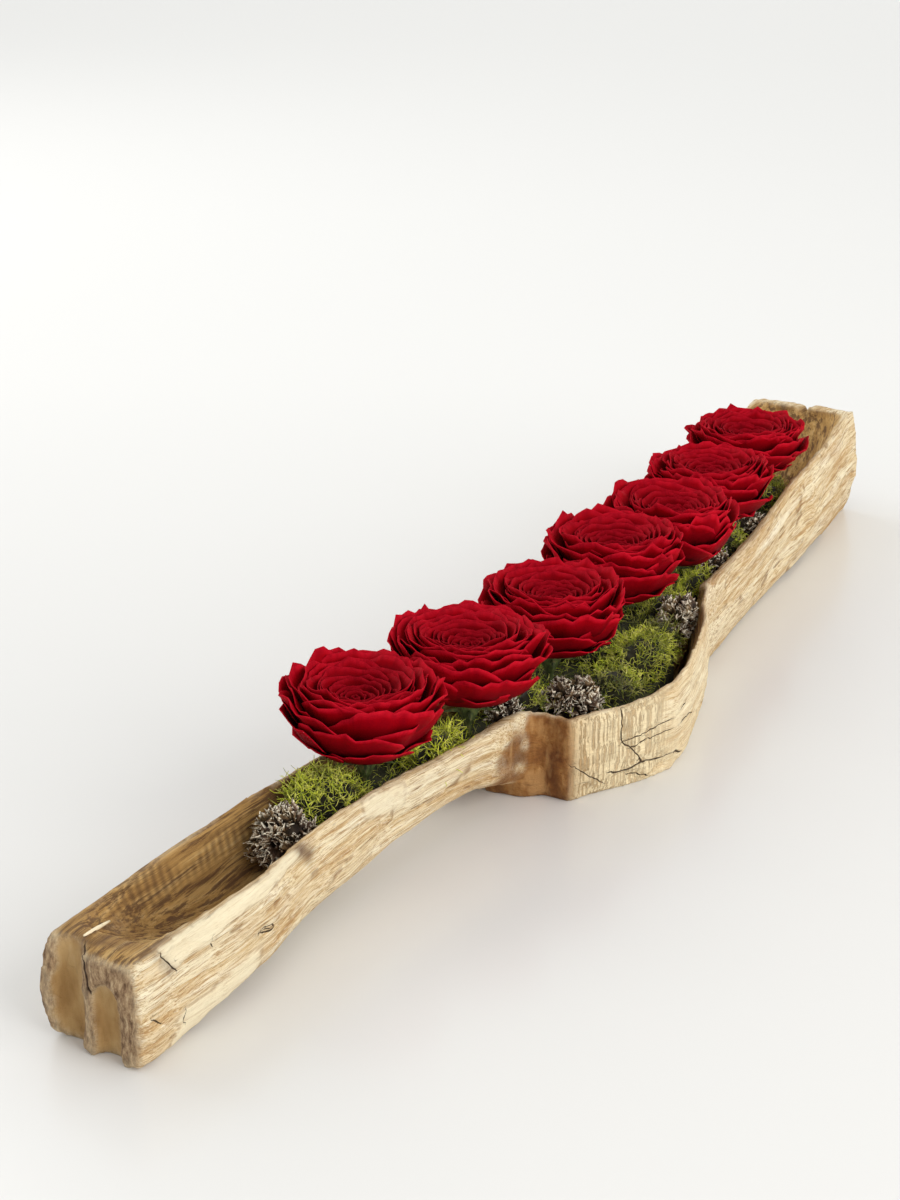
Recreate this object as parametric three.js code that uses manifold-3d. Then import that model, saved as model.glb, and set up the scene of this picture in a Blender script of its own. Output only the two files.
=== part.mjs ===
// Floral table centerpiece: a trough hewn from one pale piece of wood, with a bowl-like boss on one side,
// holding seven preserved roses in moss and lichen. Millimetres, +Z up. The length runs along X: the end
// with the two scooped grooves is at -X, the thick raised end at +X, and the boss bulges towards -Y.
// The origin is on the table, under the middle of the whole object's box.
import * as THREE from 'three';
import { mergeVertices } from 'three/addons/utils/BufferGeometryUtils.js';
import Module from 'manifold-3d';

const wasm = await Module();
wasm.setup();

// ---------------------------------------------------------------- driving dimensions
const TOUCH_GAP = 0.3; // between pieces that rest against each other

// Outside of the trough, station by station: x, right face y, left face y, rim height, underside height.
const TROUGH = [
  [-460, 5, 56, 55, 0],
  [-452, 3, 59, 57, 0],
  [-432, 0, 60, 58, 0],
  [-400, -3, 60, 58.5, 5],
  [-360, -5, 60, 60, 9],
  [-320, -1, 58, 60, 12],
  [-280, -3, 56, 60, 15],
  [-240, -4, 54, 59, 19],
  [-205, -11, 50, 58, 24],
  [-170, -16, 46, 57, 24],
  [-135, -20, 43, 57, 14],
  [-100, -26, 40, 57, 4],
  [-60, -32, 39, 58, 0],
  [-10, -37, 38, 59, 0],
  [40, -40, 39, 60, 0],
  [90, -39, 42, 60, 0],
  [130, -35, 45, 59, 1],
  [170, -31, 48, 58, 2],
  [210, -27, 51, 59, 2],
  [250, -24, 55, 63, 2],
  [290, -22, 60, 73, 3],
  [330, -21, 66, 78, 4],
  [370, -17, 72, 80, 4],
  [410, -11, 77, 83, 0],
  [445, -7, 80, 85, 0],
  [463, -6, 77, 82, 0],
];
const UNDER_SAG = 8; // the underside hangs this much lower along the middle, where it is clear of the table
const BULGE = 2; // how far a face of a 60 mm high wall swells at mid height
const HEWN_DEPTH = 0.9; // depth of the hand-hewn waves on the outer faces

// Hollow of the trough: x, floor height, right wall at the rim, left wall at the rim, and how much each wall
// thickens from the rim to the foot of its inner face.
const HOLLOW = [
  [-441, 55, 9, 11, 4],
  [-425, 46, 6, 8, 7],
  [-395, 34, 4.5, 6, 7],
  [-350, 24, 4.5, 6, 7],
  [-300, 20, 5, 6, 7],
  [-240, 22, 5, 7, 7],
  [-205, 27, 6, 8, 7],
  [-160, 27, 7, 8, 7],
  [-100, 17, 7, 8, 7],
  [60, 17, 8, 8, 7],
  [250, 18, 7, 8, 7],
  [300, 24, 6, 7, 8],
  [350, 30, 5, 7, 11],
  [395, 40, 4.5, 7, 17],
  [424, 54, 4.5, 8, 20],
  [445, 76, 5, 10, 16],
];
const HOLLOW_FILLET = 5; // width and height of the slope between wall and floor
const ABOVE_ALL = 160; // height that no part of the object reaches

// Plan of the boss at its rim, seen from above: x, y, rim height. The first and last points lie inside the
// trough. The sharp corner is the one at the near front.
const BOSS_PLAN = [
  [-126, 8, 57],
  [-125, -19, 56],
  [-116, -30, 54],
  [-115, -46, 52],
  [-99, -55, 52],
  [-85, -64, 53],
  [-68, -73, 55],
  [-44, -81, 57],
  [-20, -79, 59],
  [6, -73, 61],
  [30, -66, 62],
  [56, -57, 62],
  [80, -46, 61],
  [108, -36, 60],
  [112, 4, 59],
];
const BOSS_LEVELS = [[0, 3], [0.1, 0.5], [0.5, -1.2], [0.85, 0], [1, 1.5]]; // share of the height, inset
const BOSS_FLOOR = 14;
const BOSS_HOLLOW_LEVELS = [[BOSS_FLOOR, 17], [22, 13], [40, 10], [60, 3], [ABOVE_ALL, 3]]; // height, inset

// Near end: a scooped groove up to the top face and a shorter one with an arched top.
const FULL_GROOVE = { x: -462, y: 44, radius: 11.5, top: 70 };
const ARCHED_GROOVE = { x: -462, y: 21, radius: 9.5, top: 44 };
// Far end: a small V notch in the top edge.
const NOTCH = { y: 32, width: 6, depth: 9, length: 40 };

// Dry floral foam.
const FOAM_NEAR_END = -290;
const FOAM_FAR_END = 346;
const FOAM_TOP = 44;
const FOAM_STEP = 6; // the foam is higher under the last rose, where the walls are higher
const FOAM_STEP_FROM = 264;
const FOAM_STEP_TO = 272;
const FOAM_SIDE_GAP = 1.2;
const BOSS_BLOCK_PLAN = [
  [-94, -15],
  [-92, -36],
  [-64, -50],
  [-44, -60],
  [-6, -56],
  [28, -47],
  [60, -33],
  [60, -26],
  [40, -25],
  [-60, -19],
];
const BOSS_BLOCK_TOP = 42;

// Roses: x, y, how far the head stands above the others, and its depth as a share of the usual one.
const ROSES = [
  [-229, 22, 0, 1],
  [-143, 6, 1, 1],
  [-56, -2, 2, 0.98],
  [35, 2, 4, 1.03],
  [117, 0, 3, 1],
  [205, 8, 3, 1],
  [303, 22, 8, 0.86],
];
const BLOOM_BASE = 64; // height of the underside of a head over the table
const PETAL_THICKNESS = 0.9;
const ROSE_KNEE = 34; // a head is pressed against its neighbour beyond this distance from its middle
const BLOOM_FOOT = [9, 0]; // radius and height of the flat underside of a head
const BLOOM_COLUMNS = 18; // points round each ring of petals
// Rings of petals from the outside in: count, points of the petal's profile as [radius, height over the
// base], turn of the ring in points.
const PETAL_RINGS = [
  { count: 5, root: [8, 4], belly: [30, -1], tip: [41, 14], turn: 0 },
  { count: 5, root: [8, 10], belly: [42, 9], tip: [47, 36], turn: 2 },
  { count: 5, root: [8, 15], belly: [35, 15], tip: [39, 44], turn: 0 },
  { count: 4, root: [7, 20], belly: [26, 21], tip: [31, 48], turn: 3 },
  { count: 4, root: [6, 23], belly: [19, 24], tip: [23.5, 48], turn: 1 },
  { count: 3, root: [5, 25], belly: [14, 26], tip: [16.5, 46], turn: 4 },
  { count: 2, root: [3.5, 28], belly: [8.5, 28], tip: [10, 43], turn: 2 },
];
const PETAL_FOLD = 0.25; // where along their profiles two rings meet
const PETAL_LAP = 0.04; // a petal's outer edge lies this share of the radius further out than its middle
const LAP_SHIFT = 0.3; // share of a cell by which two petals' edges are drawn towards each other
const PETAL_POINT = 3; // how far the rim stands up in the middle of a petal
const PETAL_RAGGED = 1.6; // unevenness of the rim
const HEART_PROFILE = [[4.6, 31], [4.2, 38], [1.5, 40]]; // the closed bud in the middle

// Stems in their holes.
const STEM_RADIUS = 2.2;
const STEM_FOOT = 30;
const STEM_HOLE_RADIUS = 2.65;
const CALYX = [[STEM_RADIUS, -14], [6.5, -6], [8, -TOUCH_GAP]]; // radius, height over the head's base
const SEPAL = { count: 5, length: 16, radius: 2.6, from: 4, height: -3.5, droop: 0.1 };

// Clumps: x, y of the middle, half sizes along x and y, height, number of sprigs or lobes.
const MOSS = {
  moss_front: [-264, 26, 22, 19, 20, 22],
  moss_beside_rose_1: [-185, 4, 20, 8, 19, 10],
  moss_beside_rose_3: [-97, -9, 11, 7, 17, 6],
  moss_boss_near: [-50, -40, 15, 15, 20, 11],
  moss_boss: [-4, -39, 29, 15, 25, 24],
  moss_boss_rim: [36, -36, 9, 8, 20, 7],
  moss_beside_rose_4: [-8, -13, 18, 8, 20, 8],
  moss_rim_near: [80, -15, 16, 7, 18, 8],
  moss_rim_middle: [123, -19, 22, 5, 18, 11],
  moss_rim_far: [203, -9, 21, 7, 19, 11],
  moss_beside_rose_7: [303, 2, 20, 6, 18, 9],
  moss_far_end: [334, 24, 11, 18, 15, 10],
  moss_back_1: [-186, 28, 21, 10, 17, 10],
  moss_back_2: [-99, 19, 20, 11, 17, 10],
  moss_back_3: [-10, 16, 22, 11, 17, 10],
  moss_back_4: [76, 18, 18, 12, 17, 10],
  moss_back_5: [161, 24, 20, 13, 17, 10],
  moss_back_6: [246, 29, 16, 15, 18, 10],
};
const LICHEN = {
  lichen_front: [-301.5, 26, 11, 16, 36, 8],
  lichen_beside_rose_2: [-122, -6, 11, 7, 16, 5],
  lichen_boss_near: [-80, -29, 13, 14, 18, 6],
  lichen_boss_far: [60, -34, 13, 6, 20, 6],
  lichen_rim_middle: [163, -13, 14, 7, 18, 4],
  lichen_rim_far: [246, -6, 14, 8, 19, 4],
};
const PINNED_CLUMP_FOOT = 29; // foot of the clump that hides the near end of the foam
const CORE_HEIGHT = 0.8; // height of a clump's core as a share of the clump's
const SPRIG_CLEARANCE = 0.35;
const MOSS_SPRIG = { radius: 1.3, length: 15 };
const LICHEN_LOBE = { width: 9, length: 15, thickness: 1.1 };

// ---------------------------------------------------------------- small tools
const V3 = (x, y, z) => new THREE.Vector3(x, y, z);
const lerp = THREE.MathUtils.lerp;

function seededRandom(seed) {
  let state = seed * 7919 + 17;
  return () => {
    state = (state * 48271) % 2147483647;
    return state / 2147483647;
  };
}

// A row of a table at x, worked out between the two rows on either side of it.
function rowAt(table, x) {
  if (x <= table[0][0]) return table[0];
  for (let i = 1; i < table.length; i += 1) {
    const [before, after] = [table[i - 1], table[i]];
    if (x <= after[0]) {
      const share = (x - before[0]) / (after[0] - before[0]);
      return before.map((value, column) => lerp(value, after[column], share));
    }
  }
  return table[table.length - 1];
}

function signedVolume(position, index, triangles) {
  let volume = 0;
  const [a, b, c] = [V3(), V3(), V3()];
  for (const t of triangles) {
    a.fromArray(position, 3 * index[3 * t]);
    b.fromArray(position, 3 * index[3 * t + 1]);
    c.fromArray(position, 3 * index[3 * t + 2]);
    volume += a.dot(b.cross(c)) / 6;
  }
  return volume;
}

function toSolid(geometry) {
  const bare = geometry.clone();
  bare.deleteAttribute('normal');
  bare.deleteAttribute('uv');
  const merged = mergeVertices(bare, 1e-4);
  const position = merged.attributes.position.array;
  let index = Array.from(merged.index.array);
  const all = Array.from({ length: index.length / 3 }, (_, t) => t);
  if (signedVolume(position, index, all) < 0) index = index.reverse();
  return new wasm.Manifold(new wasm.Mesh({
    numProp: 3,
    vertProperties: new Float32Array(position),
    triVerts: new Uint32Array(index),
  }));
}

const join = (solids) => solids.reduce((whole, next) => whole.add(next));

// The outer skin of the largest body: sealed hollows are filled and loose scraps are dropped.
function toGeometry(solid) {
  const mesh = solid.getMesh();
  const index = mesh.triVerts;
  const parent = Array.from({ length: mesh.vertProperties.length / 3 }, (_, v) => v);
  const rootOf = (v) => {
    let root = v;
    while (parent[root] !== root) {
      parent[root] = parent[parent[root]];
      root = parent[root];
    }
    return root;
  };
  for (let i = 0; i < index.length; i += 3) {
    parent[rootOf(index[i + 1])] = rootOf(index[i]);
    parent[rootOf(index[i + 2])] = rootOf(index[i]);
  }
  const skins = new Map();
  for (let t = 0; t < index.length / 3; t += 1) {
    const root = rootOf(index[3 * t]);
    if (!skins.has(root)) skins.set(root, []);
    skins.get(root).push(t);
  }
  const volumeOf = (skin) => signedVolume(mesh.vertProperties, index, skin);
  const outer = [...skins.values()].sort((one, other) => volumeOf(other) - volumeOf(one))[0];
  const geometry = new THREE.BufferGeometry();
  geometry.setAttribute('position', new THREE.BufferAttribute(new Float32Array(mesh.vertProperties), 3));
  geometry.setIndex(outer.flatMap((t) => [index[3 * t], index[3 * t + 1], index[3 * t + 2]]));
  return mergeVertices(geometry.toNonIndexed(), 1e-5);
}

// A closed body through rings of points, each end closed by a fan. The cells between two rings are split
// along one diagonal, or along the other one for the rings listed as mirrored.
function loft(rings, mirrored = []) {
  const sides = rings[0].length;
  const middles = [rings[0], rings[rings.length - 1]].map((ring) => (
    ring.reduce((sum, point) => sum.add(point), V3(0, 0, 0)).divideScalar(sides)));
  const points = [...rings.flat(), ...middles];
  const last = (rings.length - 1) * sides;
  const faces = [];
  for (let k = 0; k < sides; k += 1) {
    const next = (k + 1) % sides;
    for (let row = 0; row < rings.length - 1; row += 1) {
      const [a, b] = [row * sides + k, row * sides + next];
      const [c, d] = [b + sides, a + sides];
      if (mirrored.includes(row)) faces.push(a, b, d, b, c, d);
      else faces.push(a, b, c, a, c, d);
    }
    faces.push(points.length - 2, next, k);
    faces.push(points.length - 1, last + k, last + next);
  }
  const geometry = new THREE.BufferGeometry().setFromPoints(points);
  geometry.setIndex(faces);
  return geometry;
}

// A closed blade of even thickness on a surface given as a function of u (-1 to 1) and v (0 to 1), split
// into the same triangles on both faces.
function blade(surface, across, along, thickness) {
  const points = [];
  for (const side of [0.5, -0.5]) {
    for (let j = 0; j <= along; j += 1) {
      for (let i = 0; i <= across; i += 1) {
        const [u, v] = [(2 * i) / across - 1, j / along];
        const over = surface(u + 0.01, v).sub(surface(u - 0.01, v));
        const up = surface(u, v + 0.01).sub(surface(u, v - 0.01));
        const normal = over.cross(up).normalize();
        points.push(surface(u, v).addScaledVector(normal, side * thickness));
      }
    }
  }
  const back = points.length / 2;
  const row = across + 1;
  const faces = [];
  for (let j = 0; j < along; j += 1) {
    for (let i = 0; i < across; i += 1) {
      const [a, b, c, d] = [j * row + i, j * row + i + 1, (j + 1) * row + i + 1, (j + 1) * row + i];
      faces.push(a, b, c, a, c, d);
      faces.push(back + a, back + c, back + b, back + a, back + d, back + c);
    }
  }
  const edge = [];
  for (let i = 0; i < across; i += 1) edge.push(i);
  for (let j = 0; j < along; j += 1) edge.push(j * row + across);
  for (let i = across; i > 0; i -= 1) edge.push(along * row + i);
  for (let j = along; j > 0; j -= 1) edge.push(j * row);
  edge.forEach((from, k) => {
    const to = edge[(k + 1) % edge.length];
    faces.push(from, back + from, back + to, from, back + to, to);
  });
  const geometry = new THREE.BufferGeometry().setFromPoints(points);
  geometry.setIndex(faces);
  return geometry;
}

function lathe(profile, sides) {
  const geometry = new THREE.LatheGeometry(profile.map(([r, z]) => new THREE.Vector2(r, z)), sides);
  return geometry.rotateX(Math.PI / 2);
}

function lookOf(color, roughness) {
  return new THREE.MeshStandardMaterial({ color, roughness, metalness: 0 });
}

function piece(name, solid, material) {
  const mesh = new THREE.Mesh(toGeometry(solid), material);
  mesh.name = name;
  return mesh;
}

// ---------------------------------------------------------------- the wood
// Shallow waves left by hand tools; the phase changes along the length and from line to line.
function hewn(x, line) {
  return HEWN_DEPTH * (0.6 * Math.sin(0.041 * x + 1.9 * line) + 0.4 * Math.sin(0.093 * x + 2.7 * line));
}

function outerRing([x, right, left, rim, under]) {
  const height = rim - under;
  const swell = BULGE * (height / 60) ** 2;
  const middle = (right + left) / 2;
  const at = (share) => under + share * height;
  const outline = [
    [right + 4, at(0)],
    [right - 0.2 * swell, at(0.14)],
    [right - swell, at(0.4)],
    [right - 0.8 * swell, at(0.72)],
    [right, at(0.95)],
    [right + 2, at(1)],
    [middle, at(1)],
    [left - 5, at(1)],
    [left - 2.5, at(0.92)],
    [left + 0.8 * swell, at(0.65)],
    [left + 0.5 * swell, at(0.35)],
    [left - 3, at(0.08)],
    [left - 8, Math.max(0, under - 0.5 * UNDER_SAG)],
    [middle, Math.max(0, under - UNDER_SAG)],
  ];
  const onSide = (line) => line > 0 && line !== 6 && line < 12;
  return outline.map(([y, z], line) => V3(x, onSide(line) ? y + hewn(x, line) : y, z));
}

function innerFaces(x) {
  const [, right, left, rim] = rowAt(TROUGH, x);
  const [, floor, rightWall, leftWall, flare] = rowAt(HOLLOW, x);
  return { right: right + rightWall, left: left - leftWall, rim, floor, flare };
}

function hollowRing(x) {
  const { right, left, rim, floor, flare } = innerFaces(x);
  const depth = rim - floor;
  const side = (face, inward) => [
    [face - inward, ABOVE_ALL],
    [face, rim],
    [face + inward * 0.5 * flare, floor + 0.5 * depth],
    [face + inward * flare, floor + Math.min(HOLLOW_FILLET, 0.3 * depth)],
    [face + inward * (flare + HOLLOW_FILLET), floor],
  ];
  const outline = [...side(right, 1), ...side(left, -1).reverse()];
  return outline.map(([y, z]) => V3(x, y, z));
}

// The stations of the hollow with those of the outside between them, so that both bend alike.
function hollowStations(from, to) {
  const all = [...HOLLOW, ...TROUGH].map(([x]) => x).filter((x) => x > from && x < to);
  return [from, ...new Set(all.sort((one, other) => one - other)), to];
}

// The outline moved inwards by the given distance, square to its edges.
function insetPlan(plan, inset) {
  return plan.map(([x, y], k) => {
    const [beforeX, beforeY] = plan[(k + plan.length - 1) % plan.length];
    const [afterX, afterY] = plan[(k + 1) % plan.length];
    const along = Math.hypot(afterX - beforeX, afterY - beforeY);
    return [x - (inset * (afterY - beforeY)) / along, y + (inset * (afterX - beforeX)) / along];
  });
}

function bossOutside() {
  return loft(BOSS_LEVELS.map(([share, inset]) => insetPlan(BOSS_PLAN, inset).map(([x, y], k) => {
    const ridge = hewn(40 * k, share > 0 ? 3 : 0);
    return V3(x, y + (y < -40 ? ridge : 0), share * BOSS_PLAN[k][2]);
  })));
}

function bossHollow() {
  return loft(BOSS_HOLLOW_LEVELS.map(([height, inset]) => (
    insetPlan(BOSS_PLAN, inset).map(([x, y]) => V3(x, y, height)))));
}

function grooveSolid({ x, y, radius, top }) {
  const arch = [[radius, top - radius], [0.75 * radius, top - 0.4 * radius], [0, top]];
  const profile = [[0, -5], [radius, -5], ...arch];
  return toSolid(lathe(profile, 12).translate(x, y, 0));
}

function notchSolid() {
  const [, , , rim] = rowAt(TROUGH, TROUGH[TROUGH.length - 1][0]);
  const shape = new THREE.Shape([
    new THREE.Vector2(0, rim - NOTCH.depth),
    new THREE.Vector2(NOTCH.width, rim + NOTCH.depth),
    new THREE.Vector2(-NOTCH.width, rim + NOTCH.depth),
  ]);
  const wedge = new THREE.ExtrudeGeometry(shape, { depth: NOTCH.length, bevelEnabled: false });
  wedge.applyMatrix4(new THREE.Matrix4().makeBasis(V3(0, 1, 0), V3(0, 0, 1), V3(1, 0, 0)));
  return toSolid(wedge.translate(TROUGH[TROUGH.length - 1][0] - NOTCH.length / 2, NOTCH.y, 0));
}

function woodSolid() {
  const trough = toSolid(loft(TROUGH.map(outerRing)));
  const [hollowFrom, hollowTo] = [HOLLOW[0][0], HOLLOW[HOLLOW.length - 1][0]];
  const hollow = toSolid(loft(hollowStations(hollowFrom, hollowTo).map(hollowRing)));
  return trough
    .add(toSolid(bossOutside()))
    .subtract(hollow)
    .subtract(toSolid(bossHollow()))
    .subtract(grooveSolid(FULL_GROOVE))
    .subtract(grooveSolid(ARCHED_GROOVE))
    .subtract(notchSolid());
}

// ---------------------------------------------------------------- foam, stems, blooms
function foamTop(x) {
  const share = (x - FOAM_STEP_FROM) / (FOAM_STEP_TO - FOAM_STEP_FROM);
  return FOAM_TOP + FOAM_STEP * THREE.MathUtils.clamp(share, 0, 1);
}

function foamBar() {
  const stations = hollowStations(FOAM_NEAR_END, FOAM_FAR_END);
  stations.push(FOAM_STEP_FROM, FOAM_STEP_TO);
  stations.sort((one, other) => one - other);
  const rings = stations.map((x) => {
    const { right, left, floor, flare } = innerFaces(x);
    const inset = flare + FOAM_SIDE_GAP;
    const foot = inset + HOLLOW_FILLET;
    return [
      V3(x, right + foot, floor + TOUCH_GAP),
      V3(x, right + inset, floor + HOLLOW_FILLET + 1),
      V3(x, right + inset, foamTop(x)),
      V3(x, left - inset, foamTop(x)),
      V3(x, left - inset, floor + HOLLOW_FILLET + 1),
      V3(x, left - foot, floor + TOUCH_GAP),
    ];
  });
  const holes = ROSES.map(([x, y]) => {
    const deep = STEM_FOOT - TOUCH_GAP;
    const hole = new THREE.CylinderGeometry(STEM_HOLE_RADIUS, STEM_HOLE_RADIUS, ABOVE_ALL - deep, 12);
    return toSolid(hole.rotateX(Math.PI / 2).translate(x, y, (ABOVE_ALL + deep) / 2));
  });
  return holes.reduce((foam, hole) => foam.subtract(hole), toSolid(loft(rings)));
}

function foamBossBlock() {
  const shape = new THREE.Shape(BOSS_BLOCK_PLAN.map(([x, y]) => new THREE.Vector2(x, y)));
  const depth = BOSS_BLOCK_TOP - BOSS_FLOOR - TOUCH_GAP;
  const block = new THREE.ExtrudeGeometry(shape, { depth, bevelEnabled: false });
  return toSolid(block.translate(0, 0, BOSS_FLOOR + TOUCH_GAP));
}

// The calyx cup under a head and its stem, in the frame of the head's base.
function stemSolid(base) {
  const foot = STEM_FOOT - base;
  const cup = lathe([[0, foot], [STEM_RADIUS, foot], ...CALYX, [0, -TOUCH_GAP]], 8);
  const sepals = Array.from({ length: SEPAL.count }, (_, k) => {
    const sepal = new THREE.ConeGeometry(SEPAL.radius, SEPAL.length, 3).scale(1, 1, 0.6);
    sepal.rotateZ(-Math.PI / 2 - SEPAL.droop).translate(SEPAL.from + SEPAL.length / 2, 0, SEPAL.height);
    return toSolid(sepal.rotateZ((2 * Math.PI * k) / SEPAL.count));
  });
  return join([toSolid(cup), ...sepals]);
}

// Presses a point of a head back from the plane half way to each neighbouring head.
function pressBack(point, neighbours) {
  for (const { direction, limit } of neighbours) {
    const reach = point.dot(direction);
    if (reach > ROSE_KNEE) {
      const room = limit - ROSE_KNEE;
      point.addScaledVector(direction, ROSE_KNEE + room * Math.tanh((reach - ROSE_KNEE) / room) - reach);
    }
  }
  return point;
}

// The angles round one ring of petals, each with how far out and how high the rim is there. A petal lies a
// little further out at one edge than at the other, so that it laps over the next one; the rim is high in
// the middle of a petal, notched between two petals, and uneven.
function ringColumns({ count, turn }, start, random) {
  const step = (2 * Math.PI) / BLOOM_COLUMNS;
  const columns = [];
  for (let k = 0; k < count; k += 1) {
    const [first, next] = [k, k + 1].map((petal) => Math.round((petal * BLOOM_COLUMNS) / count));
    const cells = next - first - 1;
    const rise = PETAL_RAGGED * (random() - 0.5);
    for (let cell = 0; cell <= cells; cell += 1) {
      const u = (2 * cell) / cells - 1;
      const spread = Math.abs(u) === 1 ? Math.sign(u) * LAP_SHIFT : 0;
      columns[(first + cell + turn) % BLOOM_COLUMNS] = {
        angle: start + step * (first + cell + turn + spread),
        lap: 1 + PETAL_LAP * u,
        up: rise + PETAL_RAGGED * (2 * random() - 1) + PETAL_POINT * (0.6 - 1.6 * u * u),
      };
    }
  }
  return columns;
}

// A head of petals as one closed skin, folded up and down from ring to ring, from the base to the heart.
function bloomSolid(number) {
  const random = seededRandom(number + 3);
  const [x, y, , depth] = ROSES[number];
  const neighbours = [ROSES[number - 1], ROSES[number + 1]].filter(Boolean).map((other) => {
    const towards = V3(other[0] - x, other[1] - y, 0);
    return { limit: towards.length() / 2 - 1, direction: towards.normalize() };
  });
  const start = 2 * Math.PI * random();
  const round = (radius, height) => Array.from({ length: BLOOM_COLUMNS }, (_, k) => {
    const angle = start + (2 * Math.PI * k) / BLOOM_COLUMNS;
    return V3(radius * Math.cos(angle), radius * Math.sin(angle), height);
  });
  const curves = PETAL_RINGS.map(({ root, belly, tip }) => new THREE.QuadraticBezierCurve(
    ...[root, belly, tip].map(([radius, height]) => new THREE.Vector2(radius, height))));
  const rows = [round(...BLOOM_FOOT)];
  const innerFaceRows = [];
  PETAL_RINGS.forEach((ring, order) => {
    const curve = curves[order];
    const columns = ringColumns(ring, start, random);
    const row = (v, side) => columns.map(({ angle, lap, up }) => {
      const { x: radius, y: height } = curve.getPoint(v);
      const { x: outwards, y: upwards } = curve.getTangent(v);
      const normal = V3(upwards * Math.cos(angle), upwards * Math.sin(angle), -outwards);
      const point = V3(lap * radius * Math.cos(angle), lap * radius * Math.sin(angle), height + v ** 3 * up);
      return pressBack(point, neighbours).addScaledVector(normal, (side * PETAL_THICKNESS) / 2);
    });
    rows.push(row(0.55, 1), row(1, 1), row(1, -1), row(0.55, -1));
    innerFaceRows.push(rows.length - 2, rows.length - 1);
    const next = curves[order + 1];
    if (next) {
      const fold = curve.getPoint(PETAL_FOLD).lerp(next.getPoint(PETAL_FOLD), 0.5);
      rows.push(round(fold.x, fold.y));
    }
  });
  rows.push(...HEART_PROFILE.map(([radius, height]) => round(radius, height)));
  return toSolid(loft(rows, innerFaceRows).scale(1, 1, depth));
}

// ---------------------------------------------------------------- moss and lichen
const WOOD_LOOK = lookOf('#d3b486', 0.8);
const FOAM_LOOK = lookOf('#5d6b46', 1);
const PETAL_LOOK = lookOf('#b0061c', 0.6);
const STEM_LOOK = lookOf('#4d5b2c', 0.7);
const MOSS_LOOK = lookOf('#7a9a2e', 0.9);
const LICHEN_LOOK = lookOf('#857c72', 0.9);

// What a sprig must stay clear of: every solid placed so far, with its box.
const placed = [];
function place(solid) {
  const { min, max } = solid.boundingBox();
  placed.push({ solid, box: new THREE.Box3(V3(...min), V3(...max)) });
}

function isClear(solid) {
  const { min, max } = solid.boundingBox();
  const box = new THREE.Box3(V3(...min), V3(...max));
  return placed.every((other) => !other.box.intersectsBox(box) || other.solid.intersect(solid).isEmpty());
}

function mossSprig(foot, direction, length, thicker) {
  const radius = MOSS_SPRIG.radius + thicker;
  const cone = new THREE.ConeGeometry(radius, length + 2 * thicker, 3).translate(0, length / 2, 0);
  cone.applyQuaternion(new THREE.Quaternion().setFromUnitVectors(V3(0, 1, 0), direction));
  return toSolid(cone.translate(foot.x, foot.y, foot.z));
}

function lichenLobe(foot, direction, length, thicker) {
  const across = V3(-direction.y, direction.x, 0.3).normalize();
  const bow = V3().crossVectors(direction, across);
  const surface = (u, v) => foot.clone()
    .addScaledVector(direction, length * v * (1 - 0.25 * u * u))
    .addScaledVector(across, (LICHEN_LOBE.width / 2 + thicker) * u * (0.4 + 0.6 * v))
    .addScaledVector(bow, 2.5 * u * u * v);
  return toSolid(blade(surface, 2, 1, LICHEN_LOBE.thickness + 2 * thicker));
}

// A low core with sprigs or lobes standing out of it. The core shrinks until it is clear of what is already
// there. Each sprig is turned and shortened until it is clear, and left out if it never is.
function clump([x, y, halfX, halfY, height, count], base, seed, makeSprig, longest) {
  const random = seededRandom(seed);
  const core = (share, thicker) => {
    const dome = lathe([[0, 0], [0.92, 0], [1, 0.35], [0.7, 0.8], [0, 1]], 8);
    dome.scale(share * halfX + thicker, share * halfY + thicker, CORE_HEIGHT * share * height + thicker);
    return toSolid(dome.translate(x, y, base));
  };
  let share = 1;
  while (!isClear(core(share, SPRIG_CLEARANCE))) share -= 0.04;
  let body = core(share, 0);
  for (let k = 0; k < count; k += 1) {
    for (let attempt = 0; attempt < 8; attempt += 1) {
      const turn = k * 2.39996 + 1.2 * (random() - 0.5) + attempt;
      const out = Math.sqrt((k + 0.5) / count);
      const spread = 0.68 * share * out;
      const foot = V3(x + spread * halfX * Math.cos(turn), y + spread * halfY * Math.sin(turn), 0);
      foot.z = base + share * height * (0.6 - 0.35 * out);
      const lean = 0.25 + 0.9 * out;
      const direction = V3(Math.cos(turn) * lean, Math.sin(turn) * lean, 1).normalize();
      const length = longest * (0.7 + 0.3 * random()) * (1 - 0.07 * attempt);
      if (isClear(makeSprig(foot, direction, length, SPRIG_CLEARANCE))) {
        body = body.add(makeSprig(foot, direction, length, 0));
        break;
      }
    }
  }
  return body;
}

// ---------------------------------------------------------------- the whole object
const centerpiece = new THREE.Group();
const wood = woodSolid();
place(wood);
centerpiece.add(piece('wood_trough', wood, WOOD_LOOK));

for (const [name, solid] of [['foam_bar', foamBar()], ['foam_boss_block', foamBossBlock()]]) {
  place(solid);
  centerpiece.add(piece(name, solid, FOAM_LOOK));
}

ROSES.forEach(([x, y, lift], number) => {
  const base = BLOOM_BASE + lift;
  const [bloom, stem] = [bloomSolid(number), stemSolid(base)];
  place(bloom.translate([x, y, base]));
  place(stem.translate([x, y, base]));
  const rose = new THREE.Group();
  rose.position.set(x, y, base);
  rose.add(piece(`rose_${number + 1}_bloom`, bloom, PETAL_LOOK));
  rose.add(piece(`rose_${number + 1}_stem`, stem, STEM_LOOK));
  centerpiece.add(rose);
});

// A clump lies on the block in the boss or on the foam, or is pinned against the near end of the foam.
function groundUnder(name, x) {
  if (name.includes('_boss')) return BOSS_BLOCK_TOP;
  return x < FOAM_NEAR_END ? PINNED_CLUMP_FOOT : foamTop(x);
}

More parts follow.
